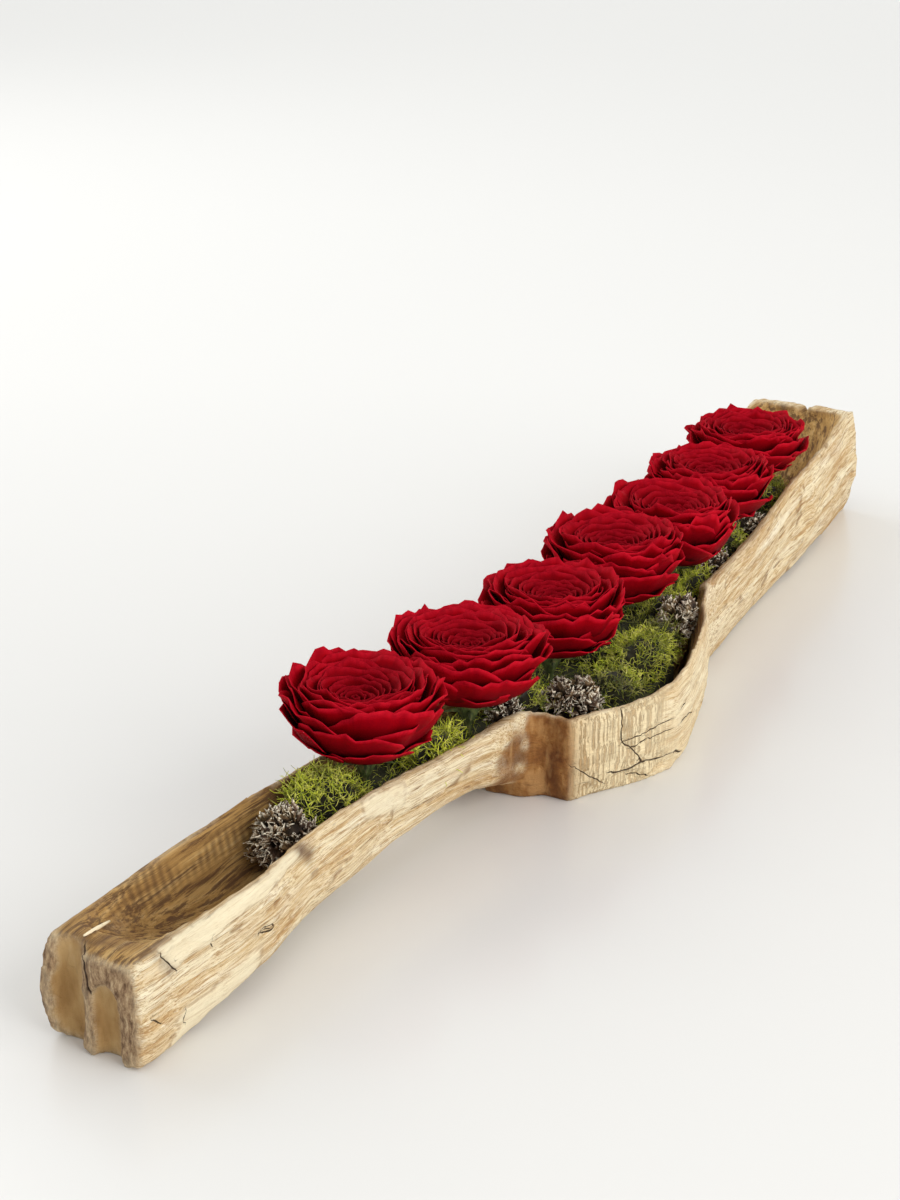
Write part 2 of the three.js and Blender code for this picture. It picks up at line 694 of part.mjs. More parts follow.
const KINDS = [
  { table: MOSS, sprig: mossSprig, length: MOSS_SPRIG.length, look: MOSS_LOOK },
  { table: LICHEN, sprig: lichenLobe, length: LICHEN_LOBE.length, look: LICHEN_LOOK },
];
KINDS.forEach(({ table, sprig, length, look }) => {
  Object.entries(table).forEach(([name, row], number) => {
    const solid = clump(row, groundUnder(name, row[0]) + TOUCH_GAP, 40 + number, sprig, length);
    place(solid);
    centerpiece.add(piece(name, solid, look));
  });
});

const whole = new THREE.Box3().setFromObject(centerpiece);
centerpiece.position.set(-(whole.min.x + whole.max.x) / 2, -(whole.min.y + whole.max.y) / 2, -whole.min.z);

export default centerpiece;
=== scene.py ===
"""Looks for the floral table centerpiece: hewn wood, preserved roses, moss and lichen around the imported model."""

import math

import bmesh
import bpy
import numpy as np
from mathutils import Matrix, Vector, noise
from mathutils.bvhtree import BVHTree


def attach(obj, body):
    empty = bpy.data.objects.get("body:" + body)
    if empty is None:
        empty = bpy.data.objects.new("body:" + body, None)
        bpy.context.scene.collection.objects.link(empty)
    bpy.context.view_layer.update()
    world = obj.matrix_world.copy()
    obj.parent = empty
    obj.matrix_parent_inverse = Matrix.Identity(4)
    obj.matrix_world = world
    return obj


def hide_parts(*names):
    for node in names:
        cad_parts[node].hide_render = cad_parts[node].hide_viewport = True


bl_info = {
    "name": "Rose and driftwood centerpiece",
    "version": (1, 0, 0),
    "blender": (4, 5, 0),
    "location": "3D View > Sidebar > Centerpiece",
    "description": "Builds the wood, roses, moss and lichen of a table centerpiece around its packed model",
    "category": "Object",
}

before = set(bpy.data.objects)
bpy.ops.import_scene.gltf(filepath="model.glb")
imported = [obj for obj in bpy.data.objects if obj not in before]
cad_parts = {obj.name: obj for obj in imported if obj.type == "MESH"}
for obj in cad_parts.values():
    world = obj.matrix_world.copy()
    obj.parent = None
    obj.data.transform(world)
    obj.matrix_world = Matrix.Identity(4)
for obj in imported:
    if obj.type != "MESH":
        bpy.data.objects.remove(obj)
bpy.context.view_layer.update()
MM = 0.001
MM_PER_METRE = 1000
BODY = "root"

# The photograph's camera: place in metres, direction, lens in millimetres.
CAMERA_PLACE = (-1.11829, -0.54435, 0.57445)
CAMERA_DIRECTION = (0.80426, 0.46434, -0.37088)
CAMERA_LENS = 64.05
CAMERA_SENSOR = 36

# Square lights: name, place in metres, side in metres, power in watts, colour. All point at the same place.
LIGHTS = [
    ("window_light", (0.3, 2.2, 1.7), 2.2, 26, "#FFFEFC"),
    ("overhead_light", (-0.5, 0.2, 2.3), 2.0, 5, "#FFFFFF"),
    ("room_light", (-0.6, -2.2, 1.2), 2.0, 42, "#FFFCF8"),
]
LIGHT_AIM = (0, 0, 0.05)
SKY = [(0.0, "#FFFFFD"), (0.25, "#F6F6F4"), (1.0, "#A6A6A4")]  # from the horizon up
SKY_STRENGTH = 1.15
FLOOR_REACH = 14  # metres from the middle to each side

# Roses, from the near end on: place of the head (x, y) and height of its underside over the floor in mm, depth as
# a share of the usual one, all as in the solids; how far the heart lies from the middle (x, y in mm), and the turn
# of the petals in degrees.
ROSES = [
    (-229, 22, 64, 1, (-4, 3), 10),
    (-143, 6, 65, 1, (3, 1), 47),
    (-56, -2, 66, 0.98, (4, -3), 85),
    (35, 2, 68, 1.03, (2, -4), 121),
    (117, 0, 67, 1, (3, -8), 160),
    (205, 8, 67, 1, (5, 1), 203),
    (303, 22, 72, 0.86, (2, -2), 247),
]
PART_SHIFT = (-1.5, -0.15)  # from the places above to the frame's origin
ROSE_KNEE = 34  # mm from its middle: beyond, a head is pressed against its neighbour
ROSE_GAP = 1.2  # mm that neighbours keep apart at least
ROSE_SEED = 100

# Rings of petals from the outside in: count, root, belly and tip of the petal's profile as (radius, height),
# turn in degrees, how far the rim rolls outwards, width of a petal as a share of its even part of the ring.
PETAL_RINGS = [
    (5, (8, 4), (25, 0), (35, 17), 0, 2.4, 1.35),
    (5, (8, 9), (37, 5), (41, 32), 40, 3.2, 1.45),
    (5, (8, 12), (37, 11), (41, 41), 4, 3.2, 1.45),
    (5, (8, 15), (34, 15), (38, 45), 36, 3.2, 1.50),
    (4, (7.5, 18), (31, 18), (34.6, 46.5), 74, 2.9, 1.50),
    (4, (7, 20), (28, 20), (31.2, 46.8), 20, 2.6, 1.55),
    (4, (6.5, 22), (25, 22), (27.8, 46), 65, 2.3, 1.55),
    (4, (6, 23), (22, 23), (24.4, 44.8), 12, 2.0, 1.60),
    (3, (5.5, 23), (18.8, 23), (21, 43), 50, 1.7, 1.50),
    (3, (5, 23), (15.8, 23), (17.6, 41), 100, 1.4, 1.50),
    (3, (4.2, 23), (12.8, 23), (14.4, 39), 20, 1.0, 1.50),
    (3, (3.4, 23), (10, 23), (11.2, 37.4), 80, 0.8, 1.50),
    (3, (2.8, 23), (7.2, 24), (8.2, 36.2), 10, 0.6, 1.50),
    (2, (2.2, 24), (4.4, 25), (5.2, 35.4), 60, 0.4, 1.60),
    (2, (1.2, 24), (2, 25), (2.4, 35), 140, 0.2, 1.60),
]

# Cracks and slits of the wood as lines of points in mm; each has its width. Neighbours in the list are kept
# in different layers, so that their lines may meet.
CRACKS = [
    (0.8, [(-455.5, 36, 57), (-460, 31, 53), (-461.5, 32, 44), (-461, 29, 36)]),
    (0.6, [(-84, -64, 53), (-85.2, -64.3, 41.8), (-85.6, -64.9, 31.1), (-79.7, -68.7, 26.2), (-71.6, -72.4, 15.2)]),
    (0.45, [(-85.6, -64.9, 31.1), (-70.4, -73.8, 33.4), (-56, -78.7, 36), (-30, -81, 39)]),
    (0.45, [(-79.7, -68.7, 26.2), (-66.7, -75.5, 29.7), (-40, -81, 31), (-20, -79.5, 29)]),
    (0.8, [(-92, -60.6, 13), (-80, -67, 10.3), (-71.6, -72.4, 15.2), (-58, -77, 11), (-45, -80, 12), (-35, -81, 8)]),
    (0.45, [(-115.8, -46.5, 25), (-109.8, -51, 19), (-95.5, -58, 7.4)]),
    (0.7, [(-80, -67, 8), (-66, -73, 3)]),
    (0.5, [(-441.6, 1, 54), (-438, 0.2, 48), (-434.8, -1.2, 43.2)]),
    (0.35, [(-369, -6, 31.5), (-363.5, -6, 30)]),
    (0.5, [(-430, -1.7, 18), (-430.5, -1.7, 13)]),
    (0.4, [(-409, -3.2, 47), (-408.5, -3.2, 43.5)]),
    (0.4, [(-452.2, 0.7, 26), (-449, 0.5, 23)]),
    (0.4, [(-372.7, -6, 32), (-369, -6, 33.2), (-361, -6, 31.4), (-357.9, -6, 29.6), (-361, -6, 28.4),
           (-368, -6, 29.6), (-372.7, -6, 32)]),
]
CRACK_LAYERS = 3

# Brown marks on the wood, wider and softer than cracks: half width and line of points in mm.
STAINS = [
    (2.6, [(-455, 46, 57), (-450, 24, 56), (-444, 4, 54)]),
    (1.8, [(-447, 33, 57), (-441, 16, 55)]),
    (2.2, [(-438, 44, 58), (-431, 28, 56), (-428, 10, 54)]),
    (4.5, [(-328, -2, 57), (-322, -2, 51)]),
    (2.0, [(-441, 1, 50), (-436, 0, 44)]),
]

# A pale splinter that lies on the top of the near end, from and to (x, y) in mm, and its half thickness.
SPLINTER = ((-454, 36), (-427, 43), 0.7)

# Pale peeled patches of the right-hand face: x from and to, height from and to at both of those, in mm.
PEELED = [
    (-441, -330, (45, 64), (54, 64)),
    (-437, -372, (2, 17), (14, 27)),
    (-270, -236, (48, 60), (42, 56)),
]

# The wood's hewn forms in mm.
NEAR_END = (444, 450)  # towards -X: where the near end begins, with a soft border
UPPER_WALL = (30, 36)  # height over the floor where the upper slopes of the walls begin
BOSS_HALF = 120  # from the middle of the trough to either end of the boss
END_FACE = (-461.5, 32, 0.3)  # the near end's face: its x at that y, and how fast x grows towards the right

# Clumps with longer sprigs or larger lobes than the others: least and most size.
SHAGGY = {"moss_beside_rose_1": (0.8, 1.4), "moss_front": (0.8, 1.3), "moss_rim_near": (0.8, 1.3),
          "lichen_front": (0.3, 1.1), "lichen_boss_far": (0.4, 1.3), "lichen_boss_near": (0.3, 1.1)}

# How much of a bright yellow-green a clump of moss has kept, 0 to 1.
FRESH = {"moss_beside_rose_1": 1.0, "moss_front": 0.5, "moss_boss": 0.5, "moss_rim_middle": 0.7,
         "moss_rim_near": 0.6}

FOAM = ["foam_bar", "foam_boss_block"]

# Widths in metres of the small faces of a clump's core and of the surface that the loose cover stands on.
CLUMP_FACE = 0.0016
COVER_FACE = 0.003
NOISE_SHIFT = (17.3, 7.1, 3.7)  # how far one seed's noise lies from the next one's


# ---------------------------------------------------------------- small tools
# The kinds of node that come up most: a colour ramp, sums on numbers and on vectors, the parts of a vector, and what
# the mesh carries at each point.
RAMP = "ShaderNodeValToRGB"
MATHS = "ShaderNodeMath"
VECTORS = "ShaderNodeVectorMath"
PARTS = "ShaderNodeSeparateXYZ"
CARRIED = "ShaderNodeAttribute"


def linear(hex_colour):
    """An sRGB hex colour as linear red, green, blue and alpha."""
    channels = [int(hex_colour[k:k + 2], 16) / 255 for k in (1, 3, 5)]
    return tuple(c / 12.92 if c <= 0.04045 else ((c + 0.055) / 1.055) ** 2.4 for c in channels) + (1.0,)


def add(tree, kind, inputs=None, stops=(), **settings):
    """A node of that kind in a tree, with its settings, and its inputs set or linked by name or number. A colour
    ramp has stops as well: (place, hex colour or grey value)."""
    made = tree.nodes.new(kind)
    for name, value in settings.items():
        setattr(made, name, value)
    for socket, value in (inputs or {}).items():
        if isinstance(value, bpy.types.NodeSocket):
            tree.links.new(value, made.inputs[socket])
        else:
            made.inputs[socket].default_value = value
    if stops:
        elements = made.color_ramp.elements
        while len(elements) < len(stops):
            elements.new(0.5)
        for element, (place, colour) in zip(elements, stops):
            element.position = place
            element.color = linear(colour) if isinstance(colour, str) else (colour, colour, colour, 1)
    return made


def node(tree, kind, inputs=None, stops=(), **settings):
    """The first output of a new node."""
    return add(tree, kind, inputs, stops, **settings).outputs[0]


def new_object(name, mesh):
    """An object with that mesh, lamp or camera, in the scene."""
    made = bpy.data.objects.new(name, mesh)
    bpy.context.scene.collection.objects.link(made)
    return made


def smooth_shaded(mesh):
    """Shades all faces of a mesh smooth."""
    mesh.polygons.foreach_set("use_smooth", [True] * len(mesh.polygons))


def mesh_from(name, points, faces):
    """A smooth mesh from points in metres and faces."""
    mesh = bpy.data.meshes.new(name)
    mesh.from_pydata([tuple(p) for p in points], [], faces)
    mesh.validate()
    smooth_shaded(mesh)
    return mesh


def baked(made):
    """Turns an object with modifiers into one with a plain mesh."""
    bpy.context.view_layer.update()
    evaluated = made.evaluated_get(bpy.context.evaluated_depsgraph_get())
    mesh = bpy.data.meshes.new_from_object(evaluated)
    made.modifiers.clear()
    old = made.data
    made.data = mesh
    bpy.data.meshes.remove(old)
    return made


def cad_copy(name, cad_node):
    """A merged copy of a CAD node's mesh, to be dressed."""
    form = bmesh.new()
    form.from_mesh(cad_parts[cad_node].data)
    bmesh.ops.remove_doubles(form, verts=form.verts, dist=1e-5)
    mesh = bpy.data.meshes.new(name)
    form.to_mesh(mesh)
    form.free()
    return new_object(name, mesh)


def remeshed(made, voxel, rounds):
    """Even small faces over the whole form, with its edges rounded a little."""
    remesh = made.modifiers.new("even_faces", "REMESH")
    remesh.mode = "VOXEL"
    remesh.voxel_size = voxel
    if rounds:
        smooth = made.modifiers.new("rounded", "SMOOTH")
        smooth.factor = 0.5
        smooth.iterations = rounds
    return baked(made)


def thickened(made, name, thickness):
    """Turns a sheet into a closed skin, half its thickness in mm to either side, with a smooth look."""
    wall = made.modifiers.new(name, "SOLIDIFY")
    wall.thickness = thickness * MM
    wall.offset = 0
    smooth_shaded(baked(made).data)
    return made


def arrays(mesh):
    """The places and normals of a mesh's vertices, and the vertices of its edges."""
    points = np.empty(len(mesh.vertices) * 3)
    mesh.vertices.foreach_get("co", points)
    normals = np.empty(len(mesh.vertices) * 3)
    mesh.vertices.foreach_get("normal", normals)
    edges = np.empty(len(mesh.edges) * 2, int)
    mesh.edges.foreach_get("vertices", edges)
    return points.reshape(-1, 3), normals.reshape(-1, 3), edges.reshape(-1, 2)


def spread(values, edges, rounds):
    """Values of vertices evened out with those of their neighbours."""
    own = 0.4
    count = np.zeros(len(values))
    np.add.at(count, edges[:, 0], 1)
    np.add.at(count, edges[:, 1], 1)
    for _ in range(rounds):
        total = np.zeros_like(values)
        np.add.at(total, edges[:, 0], values[edges[:, 1]])
        np.add.at(total, edges[:, 1], values[edges[:, 0]])
        share = count if values.ndim == 1 else count[:, None]
        values = own * values + (1 - own) * total / np.maximum(share, 1)
    return values


def set_attribute(mesh, name, values):
    """Gives each vertex a value from 0 to 1 that its material reads."""
    layer = mesh.attributes.new(name, "FLOAT", "POINT")
    layer.data.foreach_set("value", np.clip(values, 0, 1).astype(np.float32))


def noise_at(points, size, seed=0.0):
    """Smooth noise, about -1 to 1, at points in mm; size is the pattern's size along each axis in mm."""
    offset = Vector([seed * shift for shift in NOISE_SHIFT])
    scaled = points / np.asarray(size, float)
    return np.array([noise.noise(Vector(p) + offset) for p in scaled])


def wandering(points, reach, size, seeds):
    """The points moved by noise of that reach and size in mm, with a seed for each axis."""
    return points + reach * np.stack([noise_at(points, (size, size, size), seed) for seed in seeds], axis=1)


def step(values, low, high):
    """0 up to low, 1 from high on, and a soft border between them."""
    t = np.clip((values - low) / (high - low), 0, 1)
    return t * t * (3 - 2 * t)


# ---------------------------------------------------------------- materials
def start_material(name):
    """A new material with an empty node tree."""
    material = bpy.data.materials.new(name)
    material.use_nodes = True
    material.node_tree.nodes.clear()
    return material, material.node_tree


def finished(material, sockets, relief=None):
    """Gives a material its shader with those sockets. Relief is (heights, strength, depth in metres)."""
    tree = material.node_tree
    if relief:
        heights, strength, depth = relief
        sockets["Normal"] = node(tree, "ShaderNodeBump", {"Height": heights, "Strength": strength, "Distance": depth})
    shader = node(tree, "ShaderNodeBsdfPrincipled", sockets)
    add(tree, "ShaderNodeOutputMaterial", {"Surface": shader})
    return material


def millimetres(tree):
    """The place of the shaded point in mm, from Object coordinates."""
    place = add(tree, "ShaderNodeTexCoord").outputs["Object"]
    return node(tree, VECTORS, {0: place, "Scale": MM_PER_METRE}, operation="SCALE")


def grain_noise(tree, place, size, detail=3.0, rough=0.55, shift=0.0):
    """Noise whose blobs have the given size in mm along each axis. Shift makes one pattern unlike another."""
    mapped = node(tree, "ShaderNodeMapping", {"Vector": place, "Location": (shift, shift, shift),
                                              "Scale": tuple(1 / s for s in size)})
    return node(tree, "ShaderNodeTexNoise", {"Vector": mapped, "Scale": 1.0, "Detail": detail, "Roughness": rough})


def layered(tree, colour, layers):
    """A colour with others laid over it in turn. A layer says where it lies (an output, or the name of what the
    mesh carries), how strongly (stops of a ramp over that, or a share of it) and which colour it has."""
    for where, strength, over in layers:
        mask = add(tree, CARRIED, attribute_name=where).outputs["Fac"] if isinstance(where, str) else where
        if isinstance(strength, list):
            mask = node(tree, RAMP, {0: mask}, stops=strength)
        elif strength != 1:
            mask = node(tree, MATHS, {0: mask, 1: strength}, operation="MULTIPLY")
        under, over = (linear(c) if isinstance(c, str) else c for c in (colour, over))
        colour = add(tree, "ShaderNodeMix", {0: mask, 6: under, 7: over}, data_type="RGBA").outputs[2]
    return colour


def crack_lines(tree):
    """Where the cracks lie. For each layer of cracks the mesh carries how many widths a point is off the nearest
    one, and whether that one is near enough to count."""
    side = add(tree, CARRIED, attribute_name="crack_side").outputs["Vector"]
    apart = add(tree, PARTS, {0: node(tree, VECTORS, {0: side}, operation="ABSOLUTE")}).outputs
    near = add(tree, PARTS, {0: add(tree, CARRIED, attribute_name="crack_near").outputs["Vector"]}).outputs
    mask = None
    for layer in range(CRACK_LAYERS):
        depth = node(tree, RAMP, {0: apart[layer]}, stops=[(0.0, 1.0), (0.35, 0.9), (1.0, 0.0)])
        line = node(tree, MATHS, {0: depth, 1: near[layer]}, operation="MULTIPLY")
        mask = node(tree, MATHS, {0: mask, 1: line}, operation="MAXIMUM") if mask else line
    return mask


def weathered_wood():
    """Driftwood, hewn by hand and left bare: pale sun-bleached faces with long brown streaks and peeled
    flakes, a golden-brown scooped hollow with dark figure, matte all over."""
    material, tree = start_material("weathered_hewn_driftwood")
    place = millimetres(tree)

    # The grain follows the bends of the trunk, which the mesh carries, and wanders by up to 3 mm over some 55 mm.
    wander = add(tree, "ShaderNodeTexNoise", {"Vector": place, "Scale": 0.018, "Detail": 3.0}).outputs["Color"]
    centred = node(tree, VECTORS, {0: wander, 1: (0.5, 0.5, 0.5)}, operation="SUBTRACT")
    wander = node(tree, VECTORS, {0: centred, "Scale": 6.0}, operation="SCALE")
    grain = add(tree, CARRIED, attribute_name="grain").outputs["Vector"]
    grain = node(tree, VECTORS, {0: grain, 1: wander}, operation="ADD")

    # Patterns: tan bands 6 mm apart, blotches, brown streaks 1.5 mm wide, fine fibres, cut marks and specks.
    bands = grain_noise(tree, grain, (95, 6, 6), 6.0, 0.66)
    patches = grain_noise(tree, place, (60, 22, 22), 4.0, 0.65, 31.0)
    streaks = grain_noise(tree, grain, (44, 1.5, 1.5), 5.0, 0.74, 11.0)
    streaked = node(tree, RAMP, {0: streaks}, stops=[(0.52, 0.0), (0.62, 0.75)])
    fibres = grain_noise(tree, grain, (22, 0.7, 0.7), 4.0, 0.72, 41.0)
    figure = grain_noise(tree, grain, (60, 4.0, 4.0), 6.0, 0.72, 23.0)
    cuts = grain_noise(tree, place, (9, 9, 26), 3.0, 0.5, 47.0)
    specks = grain_noise(tree, place, (2.4, 2.4, 7.0), 5.0, 0.72, 3.0)

    # Flakes 95 mm long and 12 mm wide, each with a tone of its own, and here and there an open edge.
    flakes = node(tree, "ShaderNodeMapping", {"Vector": grain, "Scale": (1 / 95, 1 / 12, 1 / 12)})
    cells = {"Vector": flakes, "Scale": 1.0}
    tone = node(tree, "ShaderNodeSeparateColor", {0: add(tree, "ShaderNodeTexVoronoi", cells).outputs["Color"]})
    edges = add(tree, "ShaderNodeTexVoronoi", cells, feature="DISTANCE_TO_EDGE").outputs["Distance"]
    broken = grain_noise(tree, place, (16, 16, 16), 2.0, 0.6, 71.0)
    edge = node(tree, RAMP, {0: edges}, stops=[(0.0, 1.0), (0.035, 0.7), (0.07, 0.0)])
    lifted = node(tree, RAMP, {0: broken}, stops=[(0.56, 0.0), (0.66, 0.7)])
    flake_lines = node(tree, MATHS, {0: edge, 1: lifted}, operation="MULTIPLY")

    # Ribs of the gouge across the hollow, 6 mm apart, and the upright ridges of the boss.
    rib = add(tree, PARTS, {0: grain}).outputs[0]
    for operation, value in (("MULTIPLY", 1.05), ("SINE", 0.0), ("MULTIPLY", 0.5), ("ADD", 0.5)):
        rib = node(tree, MATHS, {0: rib, 1: value}, operation=operation)
    tooled = add(tree, CARRIED, attribute_name="tooled").outputs["Fac"]
    ribs = node(tree, MATHS, {0: rib, 1: tooled}, operation="MULTIPLY")
    upright = grain_noise(tree, place, (1.5, 1.5, 120), 3.0, 0.7, 8.0)
    ridge = node(tree, RAMP, {0: upright}, stops=[(0.48, 0.0), (0.56, 0.7)])
    ridged = add(tree, CARRIED, attribute_name="ridged").outputs["Fac"]
    ridges = node(tree, MATHS, {0: ridge, 1: ridged}, operation="MULTIPLY")
    cracks = crack_lines(tree)

    # The colours of each sort of face, and then all of them over the pale outer one.
    pale = node(tree, RAMP, {0: bands}, stops=[(0.30, "#AC8352"), (0.39, "#D0AE7C"), (0.47, "#E5CFA4"),
                                               (0.56, "#F0E0BC"), (0.70, "#F8EED4")])
    pale = layered(tree, pale, [
        (tone, [(0.0, 0.0), (0.55, 0.05), (0.8, 0.4), (1.0, 0.55)], "#F6EACB"),
        (tone, [(0.0, 0.3), (0.22, 0.12), (0.35, 0.0)], "#C69D66"),
        (patches, [(0.54, 0.0), (0.68, 0.5)], "#C8A270"),
        (streaked, 1, "#A47A48"),
        (fibres, [(0.38, 0.8), (0.47, 0.0)], "#A87E4C"),
        (fibres, [(0.55, 0.0), (0.66, 0.7)], "#FFF6DF"),
        (flake_lines, 1, "#8A6238"),
    ])
    golden = node(tree, RAMP, {0: bands}, stops=[(0.28, "#7A5530"), (0.40, "#A27B46"), (0.52, "#BD9558"),
                                                 (0.64, "#CFAB70"), (0.76, "#DEC18C")])
    golden = layered(tree, golden, [
        (figure, [(0.50, 0.0), (0.57, 0.8)], "#5B3E2C"),
        (streaked, 0.7, "#62452C"),
        (ribs, 0.5, "#563A26"),
    ])
    brown = node(tree, RAMP, {0: patches}, stops=[(0.35, "#6A3E1A"), (0.45, "#865628"),
                                                  (0.55, "#A0703C"), (0.68, "#C09460")])
    brown = layered(tree, brown, [
        (streaked, 0.6, "#6E4624"),
        (cuts, [(0.34, 0.5), (0.46, 0.0)], "#613A1C"),
        (cuts, [(0.54, 0.0), (0.66, 0.45)], "#CCA068"),
    ])
    groove = node(tree, RAMP, {0: cuts}, stops=[(0.32, "#A8814E"), (0.46, "#BE9761"),
                                                (0.6, "#CDA974"), (0.75, "#DBBD8E")])
    bark = node(tree, RAMP, {0: specks}, stops=[(0.36, "#684C36"), (0.46, "#947658"),
                                                (0.56, "#B69874"), (0.68, "#D6BE9A")])
    inner = layered(tree, "#F3E6C6", [(streaked, 0.35, "#C9A877")])
    peeled = add(tree, CARRIED, attribute_name="peeled").outputs["Fac"]
    # A darker line along the edge of each peeled patch: painted shadow at the edge of the raised patch.
    peel_edge_shadow = node(tree, RAMP, {0: peeled}, stops=[(0.15, 0.0), (0.35, 0.5), (0.55, 0.5), (0.8, 0.0)])
    colour = layered(tree, pale, [
        ("hollow", 1, golden),
        ("scooped", 1, groove),
        ("browned", 1, brown),
        ("top_face", 1, golden),
        ("bark", 1, bark),
        ("peeled", 0.85, inner),
        (peel_edge_shadow, node(tree, RAMP, {0: bands}, stops=[(0.45, 0.9), (0.55, 0.2)]), "#8E6238"),
        ("stained", node(tree, RAMP, {0: patches}, stops=[(0.3, 0.5), (0.6, 1.0)]), "#62432F"),
        ("ridged", 0.75, "#F3DFB4"),
        (ridges, 1, "#A57B46"),
        # Paler on sharp edges, partly wear and partly a painted highlight along the rims, and on the boss's bleached
        # patches.
        ("worn", 0.6, "#F5E4BE"),
        (cracks, 1, "#3B2413"),
    ])

    heights = bands
    for part, weight in ((streaks, -0.5), (fibres, 0.6), (ridges, -0.8), (flake_lines, -0.8), (tone, 0.35),
                         (ribs, -0.7), (cracks, -1.6), (specks, 0.4)):
        weighed = node(tree, MATHS, {0: part, 1: weight}, operation="MULTIPLY")
        heights = node(tree, MATHS, {0: heights, 1: weighed}, operation="ADD")
    rough = node(tree, RAMP, {0: streaks}, stops=[(0.3, 0.72), (0.7, 0.9)])
    return finished(material, {"Base Color": colour, "Roughness": rough, "IOR": 1.5, "Specular IOR Level": 0.3},
                    (heights, 0.9, 0.0016))


def rose_petal():
    """Preserved rose petal: deep crimson, soft as velvet, with fine veins; painted shade darkens it towards the root,
    and a painted highlight makes its thin rim paler.
    """
    material, tree = start_material("preserved_rose_petal")
    across, up, _ = add(tree, PARTS, {0: node(tree, "ShaderNodeUVMap", uv_map="petal")}).outputs
    cloudy = grain_noise(tree, millimetres(tree), (7, 7, 7), 3.0, 0.6)
    fan = add(tree, "ShaderNodeCombineXYZ")
    for number, (way, count) in enumerate(((across, 26.0), (up, 2.5))):
        tree.links.new(node(tree, MATHS, {0: way, 1: count}, operation="MULTIPLY"), fan.inputs[number])
    veins = node(tree, "ShaderNodeTexNoise", {"Vector": fan.outputs[0], "Scale": 1.0, "Detail": 3.0,
                                              "Roughness": 0.6})
    # From the root up: near black low down as painted shade between the petals, paler at the rim as a painted
    # highlight.
    crimson = node(tree, RAMP, {0: up}, stops=[(0.0, "#080001"), (0.58, "#2C0003"), (0.80, "#78000A"),
                                               (0.92, "#98000E"), (1.0, "#BE1226")])
    crimson = layered(tree, crimson, [
        (cloudy, [(0.42, 0.0), (0.68, 0.55)], "#7E0010"),
        (veins, [(0.5, 0.0), (0.68, 0.35)], "#6A000C"),
        # Darker towards the middle of the head: painted shade in its deep heart.
        ("heart", 0.45, "#3C0004"),
    ])
    return finished(material, {"Base Color": crimson, "Roughness": 0.7, "IOR": 1.4, "Specular IOR Level": 0.04,
                               "Sheen Weight": 0.03, "Sheen Roughness": 0.5, "Sheen Tint": linear("#FF1020")},
                    (veins, 0.35, 0.0005))


def moss_fibre():
    """Preserved moss: soft matte threads, yellow-green at the tips and dark olive at the foot and on the core as
    painted shade deep in the clump, with duller clumps.
    """
    material, tree = start_material("preserved_moss_threads")
    place = millimetres(tree)
    shade = grain_noise(tree, place, (5, 5, 5), 3.0, 0.6)
    gloom = grain_noise(tree, place, (24, 24, 24), 2.0, 0.5, 15.0)
    green = node(tree, RAMP, {0: shade}, stops=[(0.3, "#687C10"), (0.41, "#A2B620"),
                                                (0.50, "#D2D840"), (0.64, "#F8F290")])
    green = layered(tree, green, [("fresh", 0.55, "#DDE430")])
    fresh = add(tree, CARRIED, attribute_name="fresh").outputs["Fac"]
    dull = node(tree, MATHS, {0: 1.0, 1: fresh}, operation="SUBTRACT")
    # Near black at the foot of each sprig and on the core: painted shade deep in the clump.
    colour = layered(tree, "#1A1806", [
        ("tip", [(0.0, 0.0), (0.3, 0.25), (0.7, 1.0)], green),
        (node(tree, RAMP, {0: gloom}, stops=[(0.40, 0.7), (0.50, 0.0)]), dull, "#262806"),
    ])
    return finished(material, {"Base Color": colour, "Roughness": 0.8, "Specular IOR Level": 0.25,
                               "Sheen Weight": 0.15})


def lichen_skin():
    """Dried lichen: crumpled leathery lobes, grey-brown, near black at the foot as painted shade deep in the clump,
    with a frosting of pale specks on the rims that is partly a painted highlight.
    """
    material, tree = start_material("dried_ruffled_lichen")
    place = millimetres(tree)
    shade = grain_noise(tree, place, (4, 4, 4), 4.0, 0.65)
    hue = grain_noise(tree, place, (16, 16, 16), 2.0, 0.5, 27.0)
    frost_and_highlight = grain_noise(tree, place, (1.8, 1.8, 1.8), 2.0, 0.6, 9.0)
    tip = add(tree, CARRIED, attribute_name="tip").outputs["Fac"]
    rim = node(tree, RAMP, {0: tip}, stops=[(0.68, 0.0), (1.0, 0.95)])
    colour = node(tree, RAMP, {0: shade}, stops=[(0.32, "#281A0E"), (0.45, "#543E28"),
                                                 (0.56, "#826646"), (0.68, "#B8A07C")])
    colour = layered(tree, colour, [
        (hue, [(0.42, 0.55), (0.50, 0.0)], "#4E3B36"),
        (hue, [(0.52, 0.0), (0.60, 0.5)], "#746444"),
        # Pale specks on the rims: partly frosting, partly a painted highlight.
        (rim, node(tree, RAMP, {0: frost_and_highlight}, stops=[(0.44, 0.0), (0.54, 1.0)]), "#FBF3DE"),
        # Near black at the foot of each lobe and on the core: painted shade deep in the clump.
        ("tip", [(0.0, 0.85), (0.75, 0.0)], "#15100C"),
    ])
    return finished(material, {"Base Color": colour, "Roughness": 0.75, "Specular IOR Level": 0.3},
                    (frost_and_highlight, 0.6, 0.0006))


def rose_calyx():
    """Dried green stem and calyx: dull, with brown flecks."""
    material, tree = start_material("dried_rose_calyx")
    shade = grain_noise(tree, millimetres(tree), (3, 3, 8), 3.0, 0.6)
    colour = node(tree, RAMP, {0: shade}, stops=[(0.35, "#2F3718"), (0.55, "#52602E"), (0.7, "#7A6A3C")])
    return finished(material, {"Base Color": colour, "Roughness": 0.7}, (shade, 0.4, 0.0005))


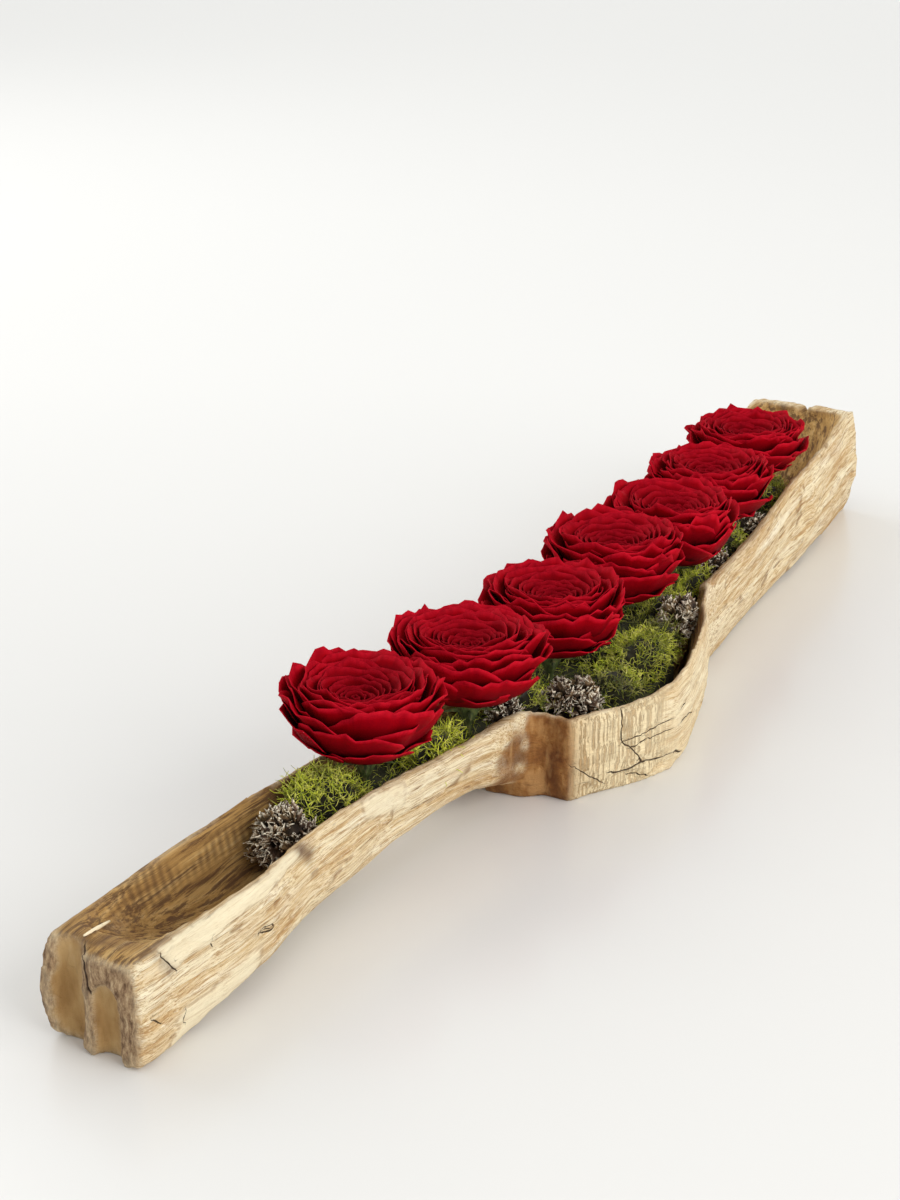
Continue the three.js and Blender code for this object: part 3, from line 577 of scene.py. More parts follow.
def floral_foam():
    """Dry floral foam: brittle, fine open cells, green-brown and dusty."""
    material, tree = start_material("dry_floral_foam")
    place = millimetres(tree)
    cells = node(tree, "ShaderNodeTexVoronoi", {"Vector": place, "Scale": 0.9})
    shade = grain_noise(tree, place, (10, 10, 10), 3.0, 0.6)
    colour = layered(tree, node(tree, RAMP, {0: shade}, stops=[(0.35, "#2B2E1A"), (0.65, "#4A4C2C")]),
                     [(cells, [(0.2, 0.6), (0.6, 0.0)], "#1C1E10")])
    return finished(material, {"Base Color": colour, "Roughness": 0.95}, (cells, 0.6, 0.0005))


def pale_floor():
    """Pale paint, satin, paler in the distance as painted light: it gives a faint soft reflection."""
    material, tree = start_material("pale_satin_table_top")
    x, y, _ = add(tree, PARTS, {0: millimetres(tree)}).outputs
    fade = 5000  # mm, in the direction that the camera looks in
    x = node(tree, MATHS, {0: x, 1: 0.87 / fade}, operation="MULTIPLY")
    y = node(tree, MATHS, {0: y, 1: 0.5 / fade}, operation="MULTIPLY")
    away = node(tree, MATHS, {0: x, 1: y}, operation="ADD")
    # Paler further away: painted light where the lamps reach less.
    colour = node(tree, RAMP, {0: away}, stops=[(0.0, "#E2E2E1"), (0.15, "#EAEAE9"), (0.8, "#F3F3F2")])
    return finished(material, {"Base Color": colour, "Roughness": 0.22, "Specular IOR Level": 0.45})


# ---------------------------------------------------------------- the wood
def enclosed(points, normals, tree):
    """1 where the wood stands on both sides of a point, level with it or below, as in the hollow and the grooves."""
    lift, reach = 0.0006, 0.2  # metres: off the surface, and how far a wall can be
    found = np.zeros(len(points))
    for k, start in enumerate(points + normals * lift):
        origin, normal = Vector(start), Vector(normals[k])
        sides = 0
        for side in (1, -1):
            level, down = Vector((0, side, 0)), Vector((0, 0.8 * side, -0.6))
            sides += bool(tree.ray_cast(origin, level, reach)[0]
                          or (normal.dot(down) > 0.2 and tree.ray_cast(origin, down, reach)[0]))
        found[k] = sides == 2
    return found


def grain_places(place):
    """Places in mm along the grain, which bends with the outline of the trunk: its sides count as level, 95 mm
    apart, and its top and underside 65 mm apart."""
    stations = np.arange(-470, 471, 10)
    slice_half = 15
    evening = np.array([1, 2, 3, 2, 1]) / 9
    grain = place.copy()
    for axis, breadth in ((1, 95), (2, 65)):
        limits = []
        for pick in (np.min, np.max):
            found = [pick(place[np.abs(place[:, 0] - station) < slice_half, axis]) for station in stations]
            even = np.convolve(np.pad(np.array(found), 2, mode="edge"), evening, "valid")
            limits.append(np.interp(place[:, 0], stations, even))
        low, high = limits
        grain[:, axis] = (place[:, axis] - low) / (high - low) * breadth
    return grain


def curved(line):
    """A line of points with its corners cut twice, so that it runs in a curve; its ends stay."""
    for _ in range(2):
        cut = [line[0]]
        for a, b in zip(line[:-1], line[1:]):
            cut += [tuple(p * (1 - share) + q * share for p, q in zip(a, b)) for share in (0.25, 0.75)]
        line = cut + [line[-1]]
    return line


def line_offset(points, normals, line):
    """Distance in mm from each point to a line of points: less than 0 on its one side, as seen along the normals."""
    nearest = np.full(len(points), 1e9)
    for start, end in zip(line[:-1], line[1:]):
        a, b = np.array(start, float), np.array(end, float)
        along = b - a
        share = ((points - a) @ along) / (along @ along)
        aside = points - (a + np.clip(share, 0, 1)[:, None] * along)
        apart = np.linalg.norm(aside, axis=1)
        side = np.where(np.einsum("ij,ij->i", np.cross(along, normals), aside) < 0, -1, 1)
        nearest = np.where(apart < np.abs(nearest), apart * side, nearest)
    return nearest


def add_splinter(wood):
    """Lays the splinter on the finished wood, as a part of its mesh: straight, and thickest in the middle."""
    surface = BVHTree.FromObject(wood, bpy.context.evaluated_depsgraph_get())
    start, end, thick = SPLINTER
    count = 8  # points along it
    shares = np.linspace(0, 1, count)
    places = [[a + (b - a) * share for a, b in zip(start, end)] for share in shares]
    tops = [surface.ray_cast(Vector((x * MM, y * MM, 1)), Vector((0, 0, -1)))[0].z for x, y in places]
    levels = [tops[0] + (tops[-1] - tops[0]) * share for share in shares]
    lift = max(top - level for top, level in zip(tops, levels))
    line = [Vector((x * MM, y * MM, level + lift + 0.3 * thick * MM)) for (x, y), level in zip(places, levels)]
    radii = [thick * MM * (0.6 + 0.8 * math.sin(math.pi * share)) for share in np.linspace(0.05, 0.95, count)]
    points, faces = tube(line, radii, sides=6)
    form = bmesh.new()
    form.from_mesh(wood.data)
    pale = form.verts.layers.float["peeled"]
    made = [form.verts.new(point) for point in points]
    for vert in made:
        vert[pale] = 1.0
    for face in faces:
        form.faces.new([made[k] for k in face]).smooth = True
    form.to_mesh(wood.data)
    form.free()


def find_marks(place, normals, edges, wraps, sharp):
    """Where each look of the wood lies, 0 to 1 for each vertex, as the material reads it; and where the boss is."""
    x, y, z = place.T
    blotch = noise_at(place, (18, 12, 12), 11)
    near_end = step(-x, *NEAR_END)
    right_side = step(-normals[:, 1], 0.2, 0.6)
    rim_top = step(normals[:, 2], 0.5, 0.8) * step(z, 40, 50)

    # The near end's two grooves, and the strip of bark beside the left one.
    face_x, face_y, face_slope = END_FACE
    end_face = face_x + (face_y - y) * face_slope
    left_strip = near_end * step(y + 0.1 * z + 2 * noise_at(place, (8, 8, 8), 18), 56, 57.5)
    scooped = wraps * near_end * step(x - end_face, 0.5, 2) * (1 - left_strip)

    # The hollow: what has walls on both sides, and the slopes under the rim that face its middle line.
    hollow = wraps * (1 - near_end) * step(z, 6, 12)
    stations = np.linspace(-440, 440, 45)
    middles = [np.mean(y[(np.abs(x - station) < 12) & (hollow > 0.9)]) for station in stations]
    inward = np.sign(np.interp(x, stations, middles) - y) * normals[:, 1]
    slopes = step(inward, 0.12, 0.3) * step(normals[:, 2], -0.2, 0.1) * step(z, *UPPER_WALL)
    slopes *= step(-x, 120, 135) + step(x, 105, 120)
    near_left = step(normals[:, 2], 0.1, 0.3) * step(y, 14, 22) * step(-x, 240, 290) * step(z, *UPPER_WALL)
    hollow = np.maximum(hollow, spread(np.maximum(slopes, near_left) * step(442 - np.abs(x), 0, 6), edges, 1))
    tooled = hollow * step(-normals[:, 1], 0.35, 0.8) * step(-x, 270, 300) * step(x, -440, -400)
    tooled *= step(z, 34, 44) * step(noise_at(place, (34, 20, 20), 12), -0.25, 0.1)

    # The boss: upright ridges on its left half, bleached beyond, brown on its hewn corner and the neck beside it.
    on_boss = step(-y, 40, 46) * step(BOSS_HALF - np.abs(x), 0, 10) * (1 - hollow)
    ridged = on_boss * step(x, -124, -116) * step(-x + 22 * blotch, 40, 75) * right_side
    bleached = on_boss * step(x, -112, -100) * (0.45 + 0.35 * blotch)
    corner = step(-normals[:, 0] + 0.35 * blotch, 0.05, 0.4) * step(x, -165, -140) * step(-x, 94, 106)
    neck = step(x, -185, -135) * step(-x, 95, 110) * step(-y, 0, 12) * step(blotch + 0.85 - z / 60, 0.1, 0.5)
    far_face = 0.8 * step(normals[:, 0], 0.5, 0.8) * step(x, 425, 440)
    browned = np.maximum.reduce([corner, neck * 0.9, far_face * 0.6]) * (1 - hollow)

    # Bark: on the near end, and in blotches on the left-hand rim.
    near_top = rim_top * step(-x + 14 * blotch, 424, 436)
    left_rim = rim_top * step(y, 34, 44) * step(-x, 180, 260) * step(blotch, -0.1, 0.3) * 0.7
    bark = np.maximum.reduce([step(normals[:, 1], 0.2, 0.7) * step(-x, 426, 450),
                              near_end * (1 - scooped) * step(-normals[:, 0], 0.3, 0.7), left_rim,
                              left_strip * step(-x, 448, 454)])
    bark *= 1 - 0.9 * near_top
    looks = {"hollow": hollow, "scooped": scooped, "ridged": ridged, "browned": browned, "bark": bark,
             # Sharp edges: partly wear, partly a painted highlight; with the boss's bleached patches.
             "tooled": tooled, "worn": np.maximum(step(sharp, 0.5, 1.3), bleached), "top_face": near_top,
             "stained": stain_marks(place, normals), "peeled": peeled_marks(place, right_side)}
    return looks, on_boss


def stain_marks(place, normals):
    """Where the brown marks lie, with an outline that wanders by 2.5 mm."""
    stained = np.zeros(len(place))
    blurred = wandering(place, 2.5, 9, (13, 14, 15))
    for width, line in STAINS:
        stained = np.maximum(stained, np.exp(-(line_offset(blurred, normals, line) / width) ** 2))
    return stained


def peeled_marks(place, right_side):
    """Where the top layer of the wood has peeled off, with ragged ends."""
    x, y, z = place.T
    ragged = 2.5 * noise_at(place, (14, 8, 8), 16)
    peeled = np.zeros(len(place))
    for start, end, low, high in PEELED:
        share = (x - start) / (end - start)
        bottom = low[0] + (high[0] - low[0]) * share + ragged
        top = low[1] + (high[1] - low[1]) * share + ragged
        inside = step(z - bottom, -0.6, 0.6) * step(top - z, -0.6, 0.6) * step(x - start + 3 * ragged, -1, 1)
        peeled = np.maximum(peeled, inside * step(end - x - 6 * ragged, -8, 8) * right_side * step(20 - y, 0, 4))
    return peeled


def cut_cracks(place, normals, relief):
    """Cuts a furrow along each crack into the relief. Returns, for each layer of cracks, how many widths a vertex
    is off the nearest one and how near it is, 0 to 1."""
    far_off, depth = 9.0, 0.9
    wander = wandering(place, 0.9, 5, (7, 8, 9))
    side = np.full((len(place), CRACK_LAYERS), far_off)
    near = np.zeros((len(place), CRACK_LAYERS))
    for number, (width, line) in enumerate(CRACKS):
        layer = number % CRACK_LAYERS
        offset = line_offset(wander, normals, curved(line))
        closer = np.abs(offset) / width < np.abs(side[:, layer])
        side[:, layer] = np.where(closer, offset / width, side[:, layer])
        near[:, layer] = np.maximum(near[:, layer], 1 - step(np.abs(offset), 1.6, 3.0))
        relief -= depth * np.exp(-(offset / (width + 0.7)) ** 2)
    return side, near


def wood_relief(place, looks, sharp):
    """How far the hewn surface stands out of the smooth form, in mm, before the cracks are cut."""
    bare = 1 - looks["hollow"]
    long_waves = noise_at(place, (70, 16, 16), 1)
    short_waves = noise_at(place, (30, 7, 7), 2)
    flakes = noise_at(place, (46, 11, 11), 3)
    terraces = np.round(flakes * 3) / 3  # a flake's top is nearly level and its edge is steep
    layers = terraces + 0.25 * (flakes - terraces)
    relief = 0.85 * long_waves + 0.45 * short_waves + layers * bare
    furrows = 0.5 * noise_at(place, (26, 3.6, 3.6), 4) * bare
    relief += furrows + 0.6 * noise_at(place, (3.4, 3.4, 120), 5) * looks["ridged"]
    nibbled = noise_at(place, (10, 5, 5), 6)
    bitten = noise_at(place, (20, 12, 12), 10)
    relief += (1.8 * nibbled + 1.6 * bitten) * step(np.abs(sharp), 0.4, 1.2)
    relief *= 1 - 0.85 * looks["scooped"]
    return relief


def dress_wood(sizes, material):
    """The trough as a fine mesh: rounded edges, hewn waves, flakes, tool ridges and cracks."""
    wood = remeshed(cad_copy("hewn_trough", "wood_trough"), sizes.face_size, 2)
    mesh = wood.data
    points, normals, edges = arrays(mesh)
    place = points * MM_PER_METRE
    x, y, z = place.T
    sharp = np.einsum("ij,ij->i", place - spread(place, edges, 6), normals)
    surface = BVHTree.FromObject(wood, bpy.context.evaluated_depsgraph_get())
    wraps = spread(enclosed(points, normals, surface), edges, 3)
    looks, on_boss = find_marks(place, normals, edges, wraps, sharp)
    relief = wood_relief(place, looks, sharp)
    crack_side, crack_near = cut_cracks(place, normals, relief)
    relief += 0.8 * looks["peeled"]

    # The near end widens a little, most at its right foot, and the foot of the boss is torn.
    flare = step(-x, 425, 458) * (1 - wraps) * step(np.abs(normals[:, 1]), 0.5, 0.85)
    relief += flare * np.where(y > 30, 2.2, 1.2 + 2.4 * step(50 - z, 0, 40))
    torn_foot = step(noise_at(place, (13, 13, 60), 17), 0.0, 0.4) * step(14 - z, 0, 9)
    relief -= 2.6 * torn_foot * on_boss * step(x, -118, -108)

    # What stands on the floor stays flat.
    footing = step(z, 0.6, 4)
    moved = points + normals * (relief * footing * MM)[:, None]
    moved[:, 2] = np.maximum(moved[:, 2], 0.0)
    mesh.vertices.foreach_set("co", moved.ravel())
    for name, values in looks.items():
        set_attribute(mesh, name, spread(values, edges, 1))
    for name, values in (("crack_side", crack_side), ("crack_near", crack_near), ("grain", grain_places(place))):
        layer = mesh.attributes.new(name, "FLOAT_VECTOR", "POINT")
        layer.data.foreach_set("vector", values.astype(np.float32).ravel())
    smooth_shaded(mesh)
    mesh.update()
    add_splinter(wood)
    mesh.materials.append(material)
    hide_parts("wood_trough")
    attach(wood, BODY)


# ---------------------------------------------------------------- the roses
PETAL_ACROSS = 16  # faces across a petal
PETAL_UP = 11  # and from its root to its rim
PETAL_THICKNESS = 0.45  # mm
HEAD_RADIUS = 47  # mm: the heart's shift fades out at this distance from the middle
ROLL_FROM, ROLL_LENGTH = 0.66, 0.34  # where a petal's rim starts to roll outwards, as a share of its length
OUTER_FROM = 26, 36  # mm: the rim of the outer petals, which are creased, lies beyond this radius


def profile_point(root, belly, tip, v):
    """Radius and height on a petal's profile, a curve from its root past its belly to its tip."""
    return [(1 - v) ** 2 * a + 2 * v * (1 - v) * b + v * v * c for a, b, c in zip(root, belly, tip)]


def petal_points(ring, start, random, head):
    """One petal's points in the frame of its head, with its places across and up."""
    count, root, belly, tip, _, roll, width = ring
    rim = tip[0]
    half = math.pi / count * width  # half the angle that the petal takes

    # Each petal has its own ruffle, point, lean, rise, size, curl, creased corners and torn rim.
    ruffle = random.uniform(0.6, 1.4) * (0.3 + 0.034 * rim)
    phase = random.uniform(0, 2 * math.pi)
    waves = random.uniform(1.3, 2.6) * (1.3 if rim > 30 else 1)
    point, point_at = random.uniform(0.0, 0.0025) * rim, random.uniform(-0.6, 0.6)
    lean = random.uniform(-0.05, 0.05)
    rise = random.uniform(-0.045, 0.045) * rim
    size = random.uniform(0.97, 1.03)
    curl = roll * random.uniform(0.5, 1.5)
    jagged = random.uniform(0, 100)
    crease = random.uniform(-1.0, 3.4, 2) * step(rim, *OUTER_FROM)
    fall = 0.12 + 0.17 * max(0.0, (rim - 24) / 17)
    torn = (0.01 + 0.085 * min(1.0, rim / 38)) * random.uniform(0.3, 1.3)
    points, places = [], []
    for j in range(PETAL_UP + 1):
        for i in range(PETAL_ACROSS + 1):
            u, v = 2 * i / PETAL_ACROSS - 1, j / PETAL_UP
            edge = abs(u)

            # Both sides are tucked under the neighbours, where the petal curls and waves less.
            free = 1 - 0.85 * max(0.0, -u - 0.3) / 0.7 - 0.5 * max(0.0, u - 0.6) / 0.4

            # The rim: it falls towards the sides, has one blunt point, and is uneven and torn.
            top = 1 - fall * edge ** 3.4 + point * max(0.0, 1 - abs(u - point_at) / 0.3)
            top += 0.05 * noise.noise(Vector((u * 2.3 + jagged, jagged, 0)))
            top += torn * noise.noise(Vector((u * 6 + jagged, jagged, 5)))
            vv = v * top
            radius, height = profile_point(root, belly, tip, vv)
            spread_out = math.sin(min(1.0, 0.34 + 0.72 * vv) * math.pi / 2)
            angle = start + half * u * spread_out + lean * vv

            # A curled rim, raised corners (those of the lowest ring also stand out), and waves.
            rolled = max(0.0, v - ROLL_FROM) / ROLL_LENGTH
            turned = free * (1 + 0.7 * noise.noise(Vector((u * 1.8, jagged, 9))))
            radius += curl * rolled ** 2 * turned
            height -= 0.55 * curl * rolled ** 3 * turned
            radius *= size * (1 + 0.04 * u)
            corner = max(0.0, crease[int(u > 0)]) * v ** 5 * max(0.0, edge - 0.45) / 0.55
            radius += (0.7 if tip[1] < 20 else 0.05) * corner
            height += 0.9 * corner
            wave = ruffle * v ** 3 * math.sin(waves * u * math.pi + phase)
            wave += 1.6 * v ** 1.5 * noise.noise(Vector((u * 2.1, v * 2.2, jagged)))
            wave += v ** 2 * noise.noise(Vector((u * 5, v * 4, jagged)))
            radius += wave * free
            height += 0.5 * ruffle * v ** 3 * math.cos(waves * u * math.pi + phase) + rise * v

            # Into the head: towards its heart, a little oval, and pressed flat against its neighbours.
            far = radius / HEAD_RADIUS
            x = radius * math.cos(angle) + head["heart"][0] * (1 - far)
            y = radius * math.sin(angle) + head["heart"][1] * (1 - far)
            swell = 1 + head["oval"] * math.cos(2 * angle + head["turn"])
            offset = Vector((x * swell, y * swell, height * head["depth"]))
            for direction, limit in head["neighbours"]:
                reach = offset.dot(direction)
                if reach > ROSE_KNEE:
                    room = limit - ROSE_KNEE
                    offset += direction * (ROSE_KNEE + room * math.tanh((reach - ROSE_KNEE) / room) - reach)
            points.append(offset)
            places.append(((u + 1) / 2, v))
    return points, places


def grid_faces(across, up, first=0):
    """Faces of a sheet of points, row by row, whose first point has that number."""
    row = across + 1
    corners = [first + j * row + i for j in range(up) for i in range(across)]
    return [(a, a + 1, a + row + 1, a + row) for a in corners]


def rose_head(number, material):
    """All petals of one head, each a thin closed sheet, ring inside ring."""
    x, y, base, depth, heart, turn = ROSES[number]
    random = np.random.default_rng(ROSE_SEED + number)
    neighbours = []
    for other in (number - 1, number + 1):
        if 0 <= other < len(ROSES):
            towards = Vector((ROSES[other][0] - x, ROSES[other][1] - y, 0))
            neighbours.append((towards.normalized(), (towards.length - ROSE_GAP) / 2))
    head = {"heart": heart, "oval": random.uniform(0.0, 0.04), "turn": random.uniform(0, 6.28),
            "depth": depth, "neighbours": neighbours}
    points, faces, places = [], [], []
    for ring in PETAL_RINGS:
        shift = math.radians(ring[4] + turn) + random.uniform(-0.12, 0.12)
        for k in range(ring[0]):
            start = shift + 2 * math.pi * k / ring[0] + random.uniform(-0.1, 0.1)
            petal, where = petal_points(ring, start, random, head)
            faces += grid_faces(PETAL_ACROSS, PETAL_UP, len(points))
            points += petal
            places += where
    middle = Vector((x + PART_SHIFT[0], y + PART_SHIFT[1], base))
    mesh = mesh_from(f"rose_head_{number + 1}", [(p + middle) * MM for p in points], faces)
    # How near a point lies to the middle of the head, for the painted shade in its heart.
    set_attribute(mesh, "heart", np.array([1 - step(math.hypot(p.x, p.y), 8, 44) for p in points]))
    layer = mesh.uv_layers.new(name="petal")
    for loop in mesh.loops:
        layer.data[loop.index].uv = places[loop.vertex_index]
    rose = thickened(new_object(mesh.name, mesh), "petal_thickness", PETAL_THICKNESS)
    rose.data.materials.append(material)
    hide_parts(f"rose_{number + 1}_bloom")
    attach(rose, BODY)


# ---------------------------------------------------------------- moss and lichen
def tube(points, radii, sides=3):
    """Points and faces of a thin thread through points, closed at both ends."""
    rings, faces = [], []
    for k, (point, radius) in enumerate(zip(points, radii)):
        ahead = points[min(k + 1, len(points) - 1)] - points[max(k - 1, 0)]
        across = ahead.orthogonal().normalized()
        other = ahead.normalized().cross(across)
        for s in range(sides):
            angle = 2 * math.pi * s / sides
            rings.append(point + radius * (across * math.cos(angle) + other * math.sin(angle)))
    for k in range(len(points) - 1):
        for s in range(sides):
            a, b = k * sides + s, k * sides + (s + 1) % sides
            faces.append((a, b, b + sides, a + sides))
    faces.append(tuple(range(sides))[::-1])
    faces.append(tuple((len(points) - 1) * sides + s for s in range(sides)))
    return rings, faces


def moss_sprig(seed, length=12.0, radius=0.38):
    """A curly thread of moss with three forks, standing along Z. Length and radius are in mm."""
    random = np.random.default_rng(seed)
    points, faces, tips = [], [], []

    def branch(foot, direction, reach, thick, forks, low):
        """One thread, and those that fork off it where forks says; low is how high its foot stands, 0 to 1."""
        bend = Vector(random.normal(0, 0.9, 3))
        line, radii, heights = [foot.copy()], [thick], [low]
        steps = 5 if forks else 4
        for k in range(steps):
            direction = (direction + bend / steps + Vector(random.normal(0, 0.28, 3))).normalized()
            line.append(line[-1] + direction * reach / steps)
            radii.append(thick * (1 - 0.6 * (k + 1) / steps))
            heights.append(min(1.0, low + (1 - low) * (k + 1) / steps))
        made, sides = tube(line, radii)
        first = len(points)
        points.extend(made)
        tips.extend([h for h in heights for _ in range(3)])
        faces.extend([tuple(first + v for v in face) for face in sides])
        for k in forks:
            aside = Vector(random.normal(0, 1, 3)).normalized()
            branch(line[k], (direction + aside * 1.1).normalized(), reach * 0.5, thick * 0.75, (), heights[k])

    branch(Vector((0, 0, 0)), Vector((0, 0, 1)), length, radius, (1, 2, 3), 0.1)
    mesh = mesh_from(f"moss_sprig_{seed}", [p * MM for p in points], faces)
    set_attribute(mesh, "tip", np.array(tips))
    return mesh


def lichen_lobe(seed, width=5.5, length=8.0, thickness=0.45):
    """A crumpled lobe of lichen standing along Z, closed on both faces. Its sizes are in mm."""
    random = np.random.default_rng(seed)
    across, along = 5, 4
    points, tips = [], []
    wild = random.uniform(0, 50)
    for j in range(along + 1):
        for i in range(across + 1):
            u, v = 2 * i / across - 1, j / along
            reach = length * v * (1 - 0.3 * u * u + 0.75 * noise.noise(Vector((u * 3, wild, 0))))
            side = width / 2 * u * (0.25 + 0.75 * math.sin(math.pi * (0.15 + 0.6 * v)))
            bow = 3.0 * v * noise.noise(Vector((u * 2.2, v * 2.2, wild))) + 1.9 * v * v * math.sin(5.2 * u + wild)
            points.append(Vector((side, bow, reach)))
            tips.append(v)
    name = f"lichen_lobe_{seed}"
    made = new_object(name, mesh_from(name, [p * MM for p in points], grid_faces(across, along)))
    set_attribute(made.data, "tip", np.array(tips))
    mesh = thickened(made, "skin_thickness", thickness).data
    bpy.data.objects.remove(made)
    return mesh


def scatter_tree(name):
    """Geometry Nodes: stands copies of a few loose forms all over a surface, turned and sized at random."""
    tree = bpy.data.node_groups.new(name, "GeometryNodeTree")
    face = tree.interface
    face.new_socket("Geometry", in_out="OUTPUT", socket_type="NodeSocketGeometry")
    for label, kind, value in (("Geometry", "Geometry", None), ("Density", "Float", 200000.0), ("Seed", "Int", 1),
                               ("Least Size", "Float", 0.6), ("Most Size", "Float", 1.1), ("Lean", "Float", 0.7),
                               ("Lowest Face", "Float", -0.2), ("Keep Surface", "Bool", True),
                               ("Forms", "Collection", None), ("Material", "Material", None)):
        socket = face.new_socket(label, in_out="INPUT", socket_type=f"NodeSocket{kind}")
        if value is not None:
            socket.default_value = value
    given = add(tree, "NodeGroupInput").outputs

    # Spots all over the faces that look up enough.
    upward = add(tree, PARTS, {0: node(tree, "GeometryNodeInputNormal")}).outputs[2]
    open_side = node(tree, "FunctionNodeCompare", {0: upward, 1: given["Lowest Face"]}, data_type="FLOAT",
                     operation="GREATER_THAN")
    spots = add(tree, "GeometryNodeDistributePointsOnFaces",
                {"Mesh": given["Geometry"], "Selection": open_side, "Density": given["Density"],
                 "Seed": given["Seed"]}, distribute_method="RANDOM")

    # At each spot a form that stands on the face, leans at random to either side and is turned by any angle.
    stand = node(tree, "FunctionNodeAlignRotationToVector", {"Vector": spots.outputs["Normal"]}, axis="Z")
    lean, full_turn = given["Lean"], 6.283
    back = node(tree, MATHS, {0: lean, 1: -1.0}, operation="MULTIPLY")
    turn = node(tree, "FunctionNodeRandomValue",
                {0: node(tree, "ShaderNodeCombineXYZ", {0: back, 1: back, 2: 0.0}),
                 1: node(tree, "ShaderNodeCombineXYZ", {0: lean, 1: lean, 2: full_turn}),
                 "Seed": given["Seed"]}, data_type="FLOAT_VECTOR")
    tilted = node(tree, "FunctionNodeRotateRotation",
                  {0: stand, 1: node(tree, "FunctionNodeEulerToRotation", {0: turn})}, rotation_space="LOCAL")
    size = add(tree, "FunctionNodeRandomValue", {2: given["Least Size"], 3: given["Most Size"],
                                                 "Seed": given["Seed"]}, data_type="FLOAT").outputs[1]
    forms = node(tree, "GeometryNodeCollectionInfo", {0: given["Forms"], "Separate Children": True,
                                                      "Reset Children": True})
    copies = node(tree, "GeometryNodeInstanceOnPoints",
                  {"Points": spots.outputs[0], "Instance": forms, "Pick Instance": True, "Rotation": tilted,
                   "Scale": size})
    real = node(tree, "GeometryNodeRealizeInstances", {0: copies})
    surface = node(tree, "GeometryNodeSwitch", {"Switch": given["Keep Surface"], "True": given["Geometry"]},
                   input_type="GEOMETRY")
    both = add(tree, "GeometryNodeJoinGeometry")
    for part in (surface, real):
        tree.links.new(part, both.inputs[0])
    finish = node(tree, "GeometryNodeSetMaterial", {0: both.outputs[0], "Material": given["Material"]})
    add(tree, "NodeGroupOutput", {0: finish})
    return tree


def scattered(made, tree, values):
    """Puts the scatter tree on an object with its inputs, and turns the result into a plain mesh."""
    modifier = made.modifiers.new("scatter", "NODES")
    modifier.node_group = tree
    for item in tree.interface.items_tree:
        if item.item_type == "SOCKET" and item.in_out == "INPUT" and item.name in values:
            modifier[item.identifier] = values[item.name]
    return baked(made)


def form_collection(name, meshes):
    """A collection outside the scene, with the forms that are scattered."""
    group = bpy.data.collections.new(name)
    for mesh in meshes:
        group.objects.link(bpy.data.objects.new(mesh.name, mesh))
    return group


def dress_clump(cad_node, tree, values):
    """A clump: its core with a rough skin, and sprigs or lobes standing all over it."""
    clump = remeshed(cad_copy(f"{cad_node}_clump", cad_node), CLUMP_FACE, 3)
    points, normals, _ = arrays(clump.data)
    lumps = noise_at(points * MM_PER_METRE, (6, 6, 6), values["Seed"])
    clump.data.vertices.foreach_set("co", (points + normals * ((lumps - 0.6) * MM)[:, None]).ravel())
    # The core counts as the foot of the sprigs or lobes, so it takes the painted shade deep in the clump.
    set_attribute(clump.data, "tip", np.zeros(len(points)))
    scattered(clump, tree, values)
    set_attribute(clump.data, "fresh", np.full(len(clump.data.vertices), FRESH.get(cad_node, 0.0)))
    smooth_shaded(clump.data)
    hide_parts(cad_node)
    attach(clump, BODY)


def give_material(cad_nodes, material):
    """Gives CAD nodes that stay in sight their material."""
    for name in cad_nodes:
        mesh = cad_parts[name].data
        mesh.materials.clear()
        mesh.materials.append(material)


# ---------------------------------------------------------------- the add-on
class WoodSizes(bpy.types.PropertyGroup):
    face_size: bpy.props.FloatProperty(
        name="Face size", description="Width of the small faces of the wood", default=0.002, min=0.001,
        max=0.006, subtype="DISTANCE", unit="LENGTH")


class MossSizes(bpy.types.PropertyGroup):
    moss_density: bpy.props.FloatProperty(
        name="Moss density", description="Sprigs of moss to the square metre", default=120000.0, min=1000.0)
    lichen_density: bpy.props.FloatProperty(
        name="Lichen density", description="Lobes of lichen to the square metre", default=190000.0, min=1000.0)
    cover_density: bpy.props.FloatProperty(
        name="Cover density", description="Sprigs to the square metre between the roses", default=45000.0, min=0.0)
    lean: bpy.props.FloatProperty(
        name="Lean", description="How far a sprig leans away from straight up", default=0.9, min=0.0,
        max=1.5, subtype="ANGLE", unit="ROTATION")


